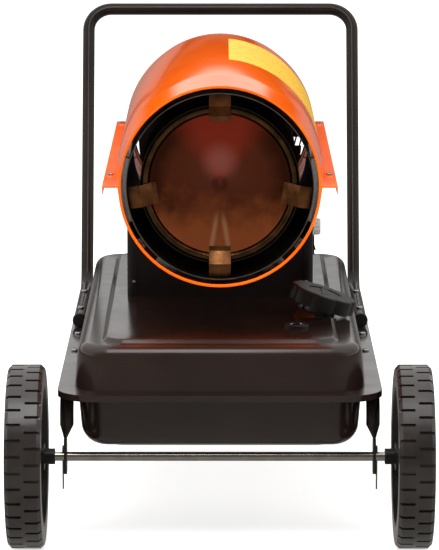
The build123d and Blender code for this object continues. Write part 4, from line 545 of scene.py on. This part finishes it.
class HEATER_OT_finishes(bpy.types.Operator):
    """Make every finish of the heater and give it to the CAD nodes"""

    bl_idname = "heater.finishes"
    bl_label = "Finishes"

    def execute(self, context):
        look = context.scene.heater_finishes
        self.paints(look)
        self.mouldings()
        self.metals()
        # moulded clear cover: the dial shows through it, with one soft glint
        new_material("Clear gauge window", Transmission_Weight=1.0, Roughness=0.03,
                     Base_Color=linear("#F4F7F7"))
        self.give()
        return {"FINISHED"}

    def paints(self, look):
        """The enamels, wet-sprayed on sheet and tube."""
        # baked gloss coat on the drum: even orange with soft, wavering highlights
        sprayed_enamel("Orange gloss enamel", "#F35D08", "#F6670B", look.drum_roughness,
                       2.4, look.peel_depth, ior=1.36)
        # thick gloss coat over drawn steel: near black with a brown cast, pale broad strips
        sprayed_enamel("Brown-black gloss enamel", "#1D1310", "#231814",
                       look.tank_roughness, 3.0, 0.01, coat=0.55, ior=1.48)
        # thin coat on folded sheet: dark and quiet, with blurred reflections
        sprayed_enamel("Black semi-gloss enamel", "#100C0B", "#15100F", 0.28, 1.6, 0.012,
                       ior=1.4)
        # dipped tube: long thin highlights along the bends
        sprayed_enamel("Black tube enamel", "#16110F", "#1C1613", 0.2, 1.6, 0.012, ior=1.42)
        # sprayed rims: satin black
        sprayed_enamel("Black wheel enamel", "#141210", "#1C1917", 0.3, 2.0, 0.01)
        # cast motor body: rough-skinned black
        sprayed_enamel("Black motor enamel", "#17181A", "#1E1F21", 0.35, 1.8, 0.02)

    def mouldings(self):
        """Rubbers, plastics, fired ceramic and printed ink."""
        tyre_rubber()
        # moulded seal rubber: dull, clean black
        moulding("Black nitrile rubber", "#101010", "#171717", 0.55, 1.2)
        # moulded cap and plugs: dark satin with a fine spark texture
        moulding("Black glass-filled nylon", "#0A0A0B", "#101011", 0.42, 0.9)
        # moulded knob: pale, smooth and slightly glossy
        moulding("Pale grey ABS", "#C9C7C3", "#D6D4CF", 0.3, 1.0, 0.01)
        # woven strainer: milky and dull
        moulding("Natural nylon mesh", "#CFCBBF", "#DEDACD", 0.5, 0.8)
        # fired insulators: cream with a wet glaze
        moulding("Glazed steatite", "#E4DFD4", "#EFEBE1", 0.15, 1.5, 0.01)
        # printed circuit lacquer: clear deep green
        moulding("Green solder mask", "#12431F", "#1B5A2A", 0.3, 0.8)
        # cast film on the drum: strong yellow, nearly smooth
        moulding("Yellow polyester film", "#F1B400", "#F5BE12", 0.3, 6.0, 0.01)
        # screen-printed marks: flat and dull
        moulding("White printing ink", "#E6E6E2", "#EFEFEC", 0.5, 0.6, 0.005)
        moulding("Red printing ink", "#B3261B", "#BF2E20", 0.5, 0.6, 0.005)
        moulding("Black printing ink", "#0E0E0E", "#151515", 0.5, 0.6, 0.005)

    def metals(self):
        """Unpainted metals, clean and heat-marked."""
        # drawn axle bar: bright, with sharp lengthwise glints
        bare_metal("Drawn bright steel", "#B5B1A8", "#C6C2B9", 0.16, 18)
        # plated fasteners: cool bright grey
        bare_metal("Bright zinc plate", "#BFC3C6", "#CDD0D2", 0.25, 6)
        # rolled sheet as delivered: dull grey with cloudy gloss
        bare_metal("Mill-finish sheet", "#97958F", "#A9A7A1", 0.34, 9)
        # rolled ring scorched by the flame: brown to straw in clouds
        bare_metal("Scorched steel ring", "#4A3826", "#7A5A36", 0.26, 22)
        # bent straps coloured by the heat: warm straw brown
        bare_metal("Straw-tinted steel strap", "#7E5030", "#9A6640", 0.36, 12)
        # turned fittings: soft gold
        bare_metal("Turned brass", "#B08A43", "#C19B52", 0.25, 8)
        # cast and pressed aluminium: pale satin
        bare_metal("Satin die-cast aluminium", "#A9ABAD", "#BBBDBF", 0.38, 12)
        tinted_disc_with_painted_reflections()
        # the shield: bright only at its front edge, a painted highlight, and dark behind it
        # with soot and painted shade
        sheet_with_soot_and_painted_light("Sooted heat shield, painted edge highlight", 1.0, "#C9C6BE", "#3E3222", 0.4)
        # the chamber wall: lighter for its first 30 mm and darker deeper in, soot together with
        # painted shade inside the chamber
        sheet_with_soot_and_painted_light("Sooted chamber wall, painted shade", 30.0, "#4A4037", "#211D1A", 0.45)

    def give(self):
        """Each CAD node takes the finish of its slot, or its own, on smoothed faces."""
        for entry in frame["record"]["subparts"]:
            node = CAD[entry["node"]]
            finish = FINISH_OF_NODE.get(entry["node"],
                                        FINISH_OF_SLOT[entry["material_slot"]])
            node.data.materials.clear()
            node.data.materials.append(bpy.data.materials[finish])
            node.data.shade_smooth()
            weld = node.modifiers.new("join facets", "WELD")
            weld.merge_threshold = 0.02 * MM
            split = node.modifiers.new("keep corners", "EDGE_SPLIT")
            split.split_angle = radians(32)


class HEATER_OT_film(bpy.types.Operator):
    """Make the plain yellow film on the drum"""

    bl_idname = "heater.film"
    bl_label = "Yellow film"

    def execute(self, context):
        shape = context.scene.heater_film
        lift = 0.12 * MM
        deselect()
        bpy.ops.mesh.primitive_cylinder_add(
            vertices=360, radius=DRUM_RADIUS + lift, depth=shape.back - shape.front,
            end_fill_type="NOTHING", rotation=(pi / 2, 0, 0),
            location=(0, DRUM_FRONT_Y + (shape.front + shape.back) / 2, DRUM_AXIS_Z))
        film = context.object
        bake_place(film)

        def outside(mesh, vertex):
            angle = atan2(vertex.co.z - DRUM_AXIS_Z, vertex.co.x)
            return not shape.low_angle <= angle <= shape.top_angle

        pick(film, "VERT", outside)
        bpy.ops.mesh.delete(type="VERT")
        bpy.ops.object.mode_set(mode="OBJECT")
        add_modifier(film, "SOLIDIFY", thickness=shape.thickness, offset=0.0)
        finish_piece(film, "yellow_film", "root", "Yellow polyester film", smooth_angle=60)
        return {"FINISHED"}


class HEATER_OT_screws(bpy.types.Operator):
    """Make the cross-head screws that stand for the plain ones"""

    bl_idname = "heater.screws"
    bl_label = "Screws"

    def screw(self, head_radius, head_height, shank_radius, shank_length):
        """A pan head with a cross recess and its shank, standing on the origin."""
        deselect()
        bpy.ops.mesh.primitive_cylinder_add(vertices=32, radius=head_radius,
                                            depth=head_height,
                                            location=(0, 0, head_height / 2))
        head = bpy.context.object
        bake_place(head)
        pick(head, "EDGE", both_ends(lambda place: place.z > head_height * 0.99))
        bpy.ops.mesh.bevel(offset=head_height * 0.62, segments=4)
        pick(head, "FACE", lambda mesh, face: face.center.z < 0.01 * MM)
        bpy.ops.mesh.inset(thickness=head_radius - shank_radius)
        bpy.ops.mesh.extrude_region_move(
            TRANSFORM_OT_translate={"value": (0, 0, -shank_length)})
        bpy.ops.mesh.select_all(action="SELECT")
        bpy.ops.mesh.normals_make_consistent(inside=False)
        for turn in (pi / 4, 3 * pi / 4):
            deselect()
            bpy.ops.mesh.primitive_cube_add(size=1, rotation=(0, 0, turn),
                                            location=(0, 0, head_height))
            arm = bpy.context.object
            arm.scale = (head_radius * 1.15, head_radius * 0.26, head_height * 1.1)
            bake_place(arm)
            add_modifier(head, "BOOLEAN", object=arm, solver="EXACT")
            only(arm)
            bpy.ops.object.delete()
        return head

    def fit(self, pattern, places, node):
        """Puts copies of a screw in the places of a node's own screws."""
        screws = joined(*copies(pattern, places))
        finish_piece(screws, "cross_head_" + node, "root", "Bright zinc plate",
                     replaces=(node,))

    def execute(self, context):
        for node, head_radius, head_height, shank_radius in (
            ("handle_screws", 5.5 * MM, 3.2 * MM, 3.0 * MM),
            ("frame_screws", 5.5 * MM, 3.2 * MM, 3.0 * MM),
            ("shell_screws", 4.8 * MM, 3.2 * MM, 2.4 * MM),
        ):
            low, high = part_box(node)
            left, right = low[0] + head_radius, high[0] - head_radius
            front, back = low[1] + head_radius, high[1] - head_radius
            seat = high[2] - head_height
            pattern = self.screw(head_radius, head_height, shank_radius, seat - low[2])
            self.fit(pattern, [
                towards((x, y, seat), (0, 0, 1), turn)
                for x, y, turn in ((left, front, 0.3), (right, front, 0.9),
                                   (left, back, 0.1), (right, back, 0.6))], node)
        low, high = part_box("box_screws")
        head_radius, depth = 2.6 * MM, 2.4 * MM
        left, right = low[0] + head_radius, high[0] - head_radius
        front, back = low[1] + depth, high[1] - depth
        middle = (low[2] + high[2]) / 2
        self.fit(self.screw(head_radius, 2.0 * MM, 1.9 * MM, 0.35 * MM), [
            towards((x, y, middle), (0, away, 0), turn)
            for x, y, away, turn in ((left, front, -1, 0.2), (right, front, -1, 0.5),
                                     (left, back, 1, 0.4), (right, back, 1, 0.1))],
            "box_screws")
        return {"FINISHED"}


class HEATER_OT_straps(bpy.types.Operator):
    """Make the four bent straps that hold the disc in the outlet"""

    bl_idname = "heater.straps"
    bl_label = "Disc straps"

    def execute(self, context):
        shape = context.scene.heater_straps
        # from the disc's rim out to the shield: how far behind the drum's front edge, and
        # how far from its axis
        route = [(back * MM, radius * MM) for back, radius in (
            (30.2, 86), (30.2, 92.8), (14, 109), (14, 125), (34, 125))]
        (start, foot), (start, knee) = route[:2]
        middle = (foot + knee) / 2
        deselect()
        bpy.ops.mesh.primitive_plane_add(size=1, rotation=(pi / 2, 0, 0))
        strap = context.object
        strap.scale = (shape.width, knee - foot, 1)
        strap.location = (0, start, middle)
        bake_place(strap)
        pick(strap, "EDGE", both_ends(lambda place: place.z > middle))
        for (back, radius), (next_back, next_radius) in zip(route[1:], route[2:]):
            bpy.ops.mesh.extrude_edges_move(TRANSFORM_OT_translate={
                "value": (0, next_back - back, next_radius - radius)})
        bpy.ops.mesh.select_all(action="SELECT")
        bpy.ops.mesh.normals_make_consistent(inside=False)
        bpy.ops.object.mode_set(mode="OBJECT")
        add_modifier(strap, "SOLIDIFY", thickness=shape.thickness, offset=0.0)
        add_modifier(strap, "BEVEL", width=shape.thickness * 0.35, segments=2)
        axis = Matrix.Translation((0, DRUM_FRONT_Y, DRUM_AXIS_Z))
        straps = joined(*copies(strap, [
            axis @ Matrix.Rotation(turn, 4, "Y")
            for turn in (0, pi / 2 + shape.droop, pi, -pi / 2 - shape.droop)]))
        finish_piece(straps, "bent_disc_straps", "root", "Straw-tinted steel strap",
                     replaces=("baffle_straps",))
        return {"FINISHED"}


class HEATER_OT_guard(bpy.types.Operator):
    """Make the close wire guard over the air inlet"""

    bl_idname = "heater.guard"
    bl_label = "Rear guard"

    def execute(self, context):
        shape = context.scene.heater_guard
        low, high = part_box("rear_guard")
        outer = (high[0] - low[0]) / 2 - shape.wire / 2
        width = outer - shape.inner
        rings = []
        for i in range(shape.rings):
            deselect()
            bpy.ops.mesh.primitive_torus_add(
                major_radius=shape.inner + width * i / (shape.rings - 1),
                minor_radius=shape.wire / 2, major_segments=96, minor_segments=10)
            rings.append(context.object)
        deselect()
        bpy.ops.mesh.primitive_cylinder_add(
            vertices=12, radius=shape.wire / 2, depth=width, rotation=(0, pi / 2, 0),
            location=((outer + shape.inner) / 2, 0, -shape.wire * 0.9))
        spoke = context.object
        bake_place(spoke)
        add_modifier(spoke, "BEVEL", width=shape.wire * 0.3, segments=2)
        spokes = copies(spoke, [Matrix.Rotation(2 * pi * (i + 0.5) / shape.spokes, 4, "Z")
                                for i in range(shape.spokes)])
        guard = joined(*rings, *spokes)
        guard.matrix_world = towards((0, high[1] - shape.wire / 2, DRUM_AXIS_Z), (0, 1, 0))
        finish_piece(guard, "wire_guard", "root", "Black tube enamel",
                     replaces=("rear_guard",))
        return {"FINISHED"}


class HEATER_OT_fan(bpy.types.Operator):
    """Make the pressed fan with broad, twisted blades"""

    bl_idname = "heater.fan"
    bl_label = "Fan"

    def execute(self, context):
        shape = context.scene.heater_fan
        rows = 8
        deselect()
        bpy.ops.mesh.primitive_circle_add(vertices=120, radius=shape.radius,
                                          fill_type="NOTHING")
        blade = context.object
        pick(blade, "VERT",
             lambda mesh, vertex: abs(atan2(vertex.co.y, vertex.co.x)) > shape.sweep / 2)
        bpy.ops.mesh.delete(type="VERT")
        bpy.ops.mesh.select_all(action="SELECT")
        reach = [shape.radius - (shape.radius - shape.root) * i / rows
                 for i in range(rows + 1)]
        for outer, inner in zip(reach, reach[1:]):
            bpy.ops.mesh.extrude_edges_move()
            bpy.ops.transform.resize(value=(inner / outer, inner / outer, 1),
                                     center_override=(0, 0, 0))
        bpy.ops.object.mode_set(mode="OBJECT")
        add_modifier(blade, "SIMPLE_DEFORM", deform_method="TWIST", deform_axis="X",
                     angle=-shape.twist)
        add_modifier(blade, "SOLIDIFY", thickness=shape.sheet, offset=0.0)
        deselect()
        bpy.ops.mesh.primitive_cylinder_add(vertices=64, radius=shape.hub_radius,
                                            depth=shape.hub_length)
        hub = context.object
        pick(hub, "FACE", lambda mesh, face: abs(face.normal.z) > 0.9)
        bpy.ops.mesh.inset(thickness=shape.hub_radius / 5)
        bpy.ops.mesh.extrude_region_shrink_fatten(
            TRANSFORM_OT_shrink_fatten={"value": -shape.hub_length / 8})
        bpy.ops.object.mode_set(mode="OBJECT")
        low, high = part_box("fan_blade")
        middle = towards((0, (low[1] + high[1]) / 2, DRUM_AXIS_Z), (0, 1, 0))
        blades = copies(blade, [
            middle @ Matrix.Rotation(2 * pi * i / shape.blades, 4, "Z")
            @ Matrix.Rotation(shape.pitch, 4, "X") for i in range(shape.blades)])
        hub.matrix_world = middle
        fan = joined(hub, *blades)
        finish_piece(fan, "pressed_fan", "fan", "Satin die-cast aluminium",
                     replaces=("fan_blade",))
        return {"FINISHED"}


class HEATER_OT_dials(bpy.types.Operator):
    """Make the gauge's dial and needle and the scale round the knob"""

    bl_idname = "heater.dials"
    bl_label = "Dials and scales"

    def execute(self, context):
        marks = context.scene.heater_dials
        self.gauge(marks)
        self.thermostat(marks)
        return {"FINISHED"}

    def bar(self, length, width, thickness, inner):
        """A flat bar along +Y that starts inner away from the origin and tapers outwards."""
        middle = inner + length / 2
        deselect()
        bpy.ops.mesh.primitive_cube_add(size=1, location=(0, middle, 0))
        bar = bpy.context.object
        bar.scale = (width, length, thickness)
        bake_place(bar)
        pick(bar, "VERT", lambda mesh, vertex: vertex.co.y > middle)
        bpy.ops.transform.resize(value=(0.7, 1, 1), center_override=(0, inner, 0))
        bpy.ops.object.mode_set(mode="OBJECT")
        return bar

    def gauge(self, marks):
        """White dial with a tick ring and a red needle under the gauge's window."""
        floor = GAUGE.z - 1.2 * MM

        def above(height):
            return Matrix.Translation((GAUGE.x, GAUGE.y, floor + height))

        deselect()
        bpy.ops.mesh.primitive_cylinder_add(vertices=48, radius=marks.dial_radius,
                                            depth=0.3 * MM)
        dial = bpy.context.object
        dial.matrix_world = above(0.2 * MM)
        bake_place(dial)
        pick(dial, "FACE", lambda mesh, face: face.normal.z > 0.9)
        bpy.ops.mesh.inset(thickness=0.8 * MM)
        bpy.ops.mesh.extrude_region_move(
            TRANSFORM_OT_translate={"value": (0, 0, -0.15 * MM)})
        finish_piece(dial, "gauge_dial", "root", "White printing ink")
        tick = self.bar(2.2 * MM, 0.7 * MM, 0.1 * MM, 7.0 * MM)
        ticks = joined(*copies(tick, [
            above(0.3 * MM) @ Matrix.Rotation(radians(angle), 4, "Z")
            for angle in range(-60, 61, 20)]))
        finish_piece(ticks, "gauge_ticks", "root", "Black printing ink")
        needle = self.bar(10 * MM, 1.3 * MM, 0.3 * MM, -2.0 * MM)
        needle.matrix_world = above(0.9 * MM) @ Matrix.Rotation(marks.needle_angle, 4, "Z")
        finish_piece(needle, "gauge_needle", "root", "Red printing ink")

    def thermostat(self, marks):
        """Ticks and plain numbers printed on the side panel round the knob."""
        proud = Vector((0.05 * MM, 0, 0))
        face = Matrix.Translation(KNOB + proud) @ Matrix((
            (0, 0, 1, 0), (1, 0, 0, 0), (0, 1, 0, 0), (0, 0, 0, 1)))
        tick = self.bar(3.0 * MM, 0.8 * MM, 0.08 * MM, marks.scale_radius - 2 * MM)
        turns = [radians(135 - 270 * i / (marks.steps - 1)) for i in range(marks.steps)]
        ticks = joined(*copies(tick, [face @ Matrix.Rotation(t, 4, "Z") for t in turns]))
        finish_piece(ticks, "thermostat_ticks", "root", "White printing ink")
        numbers = []
        radius = marks.scale_radius + marks.number_height
        for i, turn in enumerate(turns):
            bpy.ops.object.text_add()
            number = bpy.context.object
            number.data.body = str(i + 1)
            number.data.size = marks.number_height
            number.data.align_x = "CENTER"
            number.data.align_y = "CENTER"
            number.data.extrude = 0.04 * MM
            only(number)
            bpy.ops.object.convert(target="MESH")
            place = (-sin(turn) * radius, cos(turn) * radius, 0)
            number.matrix_world = face @ Matrix.Translation(place)
            bake_place(number)
            numbers.append(number)
        finish_piece(joined(*numbers), "thermostat_numbers", "root", "White printing ink")


class HEATER_OT_stage(bpy.types.Operator):
    """Make the floor, the lamps, the world and the camera"""

    bl_idname = "heater.stage"
    bl_label = "Stage"

    def execute(self, context):
        look = context.scene.heater_stage
        scene = context.scene
        self.floor()
        self.world(scene)
        target = Vector((0, 0, 0.35))
        for name, place, width, length, power, mirrored in (
            ("overhead panel", (-0.4, -1.6, 3.2), 2.6, 2.6, look.key_power, False),
            ("overhead strip", (-0.15, -1.6, 3.3), 0.8, 1.8, look.strip_power, True),
            ("left panel", (-3.2, -1.2, 1.4), 2.0, 2.0, look.fill_power, False),
            ("right panel", (3.2, -1.2, 1.4), 2.0, 2.0, look.fill_power, False),
        ):
            lamp = bpy.data.lights.new(name, "AREA")
            lamp.shape = "RECTANGLE"
            lamp.size = width
            lamp.size_y = length
            lamp.energy = power
            lamp_object = bpy.data.objects.new(name, lamp)
            lamp_object.visible_glossy = mirrored
            lamp_object.location = place
            aim = target - Vector(place)
            lamp_object.rotation_euler = aim.to_track_quat("-Z", "Y").to_euler()
            scene.collection.objects.link(lamp_object)
        camera = bpy.data.cameras.new("photo camera")
        camera.sensor_width = 36  # mm, as the focal length's description says
        camera.lens = look.lens
        camera_object = bpy.data.objects.new("photo camera", camera)
        camera_object.location = look.camera_place
        camera_object.rotation_euler = (pi / 2 - look.pitch, 0, look.yaw)
        scene.collection.objects.link(camera_object)
        scene.camera = camera_object
        scene.view_settings.view_transform = "Standard"
        return {"FINISHED"}

    def floor(self):
        """White paper that the camera sees lifted to white, with the shadow kept."""
        tree, shader = new_material("White paper floor", Base_Color=linear("#CFCDCA"),
                                    Roughness=0.9, Specular_IOR_Level=0.0)
        path = add_node(tree, "ShaderNodeLightPath")
        lift = add_node(tree, "ShaderNodeMath", {"operation": "MULTIPLY"},
                        i0=path.outputs["Is Camera Ray"], i1=0.72)
        shader.inputs["Emission Color"].default_value = (1, 1, 1, 1)
        tree.links.new(lift.outputs[0], shader.inputs["Emission Strength"])
        shade = add_node(tree, "ShaderNodeEmission", Color=linear("#8F8C88"))
        gloss = add_node(tree, "ShaderNodeMixShader", i0=path.outputs["Is Glossy Ray"],
                         i1=shader.outputs[0], i2=shade.outputs[0])
        tree.links.new(gloss.outputs[0], tree.nodes["Material Output"].inputs["Surface"])
        deselect()
        bpy.ops.mesh.primitive_plane_add(size=60, location=(0, 0, -0.5 * MM))
        floor = bpy.context.object
        floor.name = "floor"
        floor.data.materials.append(bpy.data.materials["White paper floor"])

    def world(self, scene):
        """White to the camera and an even dome as a light; gloss mirrors a studio.

        That studio has a dark skirting and a bright band low on its rear wall, and is dim
        towards the front, behind the camera.
        """
        world = bpy.data.worlds.new("White studio")
        scene.world = world
        world.use_nodes = True
        tree = world.node_tree
        tree.nodes.clear()
        path = add_node(tree, "ShaderNodeLightPath")
        gloss = add_node(tree, "ShaderNodeMath", {"operation": "MAXIMUM"},
                         i0=path.outputs["Is Glossy Ray"],
                         i1=path.outputs["Is Transmission Ray"])
        place = add_node(tree, "ShaderNodeTexCoord").outputs["Generated"]
        height = add_node(tree, "ShaderNodeSeparateXYZ", Vector=place)
        rear = add_node(tree, "ShaderNodeValToRGB", {"stops": (
            (0.0, "#8A8680"), (0.03, "#6A6660"), (0.055, "#1E1A17"), (0.142, "#1E1A17"),
            (0.168, "#FFFFFF"), (0.225, "#FFFFFF"), (0.262, "#BEBAB6"), (0.5, "#C8C6C4"),
            (0.8, "#E8E8E8"), (1.0, "#E8E8E8"))},
            Fac=height.outputs["Z"])
        side = add_node(tree, "ShaderNodeMapRange", SMOOTH, Value=height.outputs["Y"],
                        From_Min=-0.2, From_Max=-0.75)
        room = add_node(tree, "ShaderNodeMix", COLOUR, i0=side.outputs["Result"],
                        i6=rear.outputs["Color"], i7=linear("#5C5A58"))
        dome = add_node(tree, "ShaderNodeValToRGB", {"stops": (
            (0.0, "#B2AEAA"), (0.6, "#FFFFFF"))}, Fac=height.outputs["Z"])
        even = add_node(tree, "ShaderNodeMix", COLOUR, i0=gloss.outputs[0],
                        i6=dome.outputs["Color"], i7=room.outputs[2])
        white = add_node(tree, "ShaderNodeMix", COLOUR, i0=path.outputs["Is Camera Ray"],
                         i6=even.outputs[2], i7=(1, 1, 1, 1))
        glow = add_node(tree, "ShaderNodeBackground", Color=white.outputs[2], Strength=1.0)
        add_node(tree, "ShaderNodeOutputWorld", Surface=glow.outputs[0])


class HEATER_PT_panel(bpy.types.Panel):
    """Lists the heater's steps and sizes"""

    bl_idname = "HEATER_PT_panel"
    bl_label = "Heater"
    bl_space_type = "VIEW_3D"
    bl_region_type = "UI"
    bl_category = "Heater"

    def draw(self, context):
        for step in STEPS:
            self.layout.operator(step.bl_idname)
        for group in GROUPS:
            values = getattr(context.scene, group)
            for name in values.bl_rna.properties.keys():
                if name not in {"rna_type", "name"}:
                    self.layout.prop(values, name)


STEPS = (HEATER_OT_finishes, HEATER_OT_film, HEATER_OT_screws, HEATER_OT_straps,
         HEATER_OT_guard, HEATER_OT_fan, HEATER_OT_dials, HEATER_OT_stage)
GROUPS = {
    "heater_finishes": HeaterFinishes,
    "heater_film": FilmShape,
    "heater_straps": StrapShape,
    "heater_guard": GuardShape,
    "heater_fan": FanShape,
    "heater_dials": DialMarks,
    "heater_stage": StageLook,
}


def register():
    for group in GROUPS.values():
        bpy.utils.register_class(group)
    for step in STEPS:
        bpy.utils.register_class(step)
    bpy.utils.register_class(HEATER_PT_panel)
    for name, group in GROUPS.items():
        setattr(bpy.types.Scene, name, PointerProperty(type=group))


def unregister():
    for name in GROUPS:
        delattr(bpy.types.Scene, name)
    bpy.utils.unregister_class(HEATER_PT_panel)
    for step in reversed(STEPS):
        bpy.utils.unregister_class(step)
    for group in GROUPS.values():
        bpy.utils.unregister_class(group)


def main():
    register()
    bpy.ops.heater.finishes()
    bpy.ops.heater.film()
    bpy.ops.heater.screws()
    bpy.ops.heater.straps()
    bpy.ops.heater.guard()
    bpy.ops.heater.fan()
    bpy.ops.heater.dials()
    bpy.ops.heater.stage()


if __name__ == "__main__":
    main()
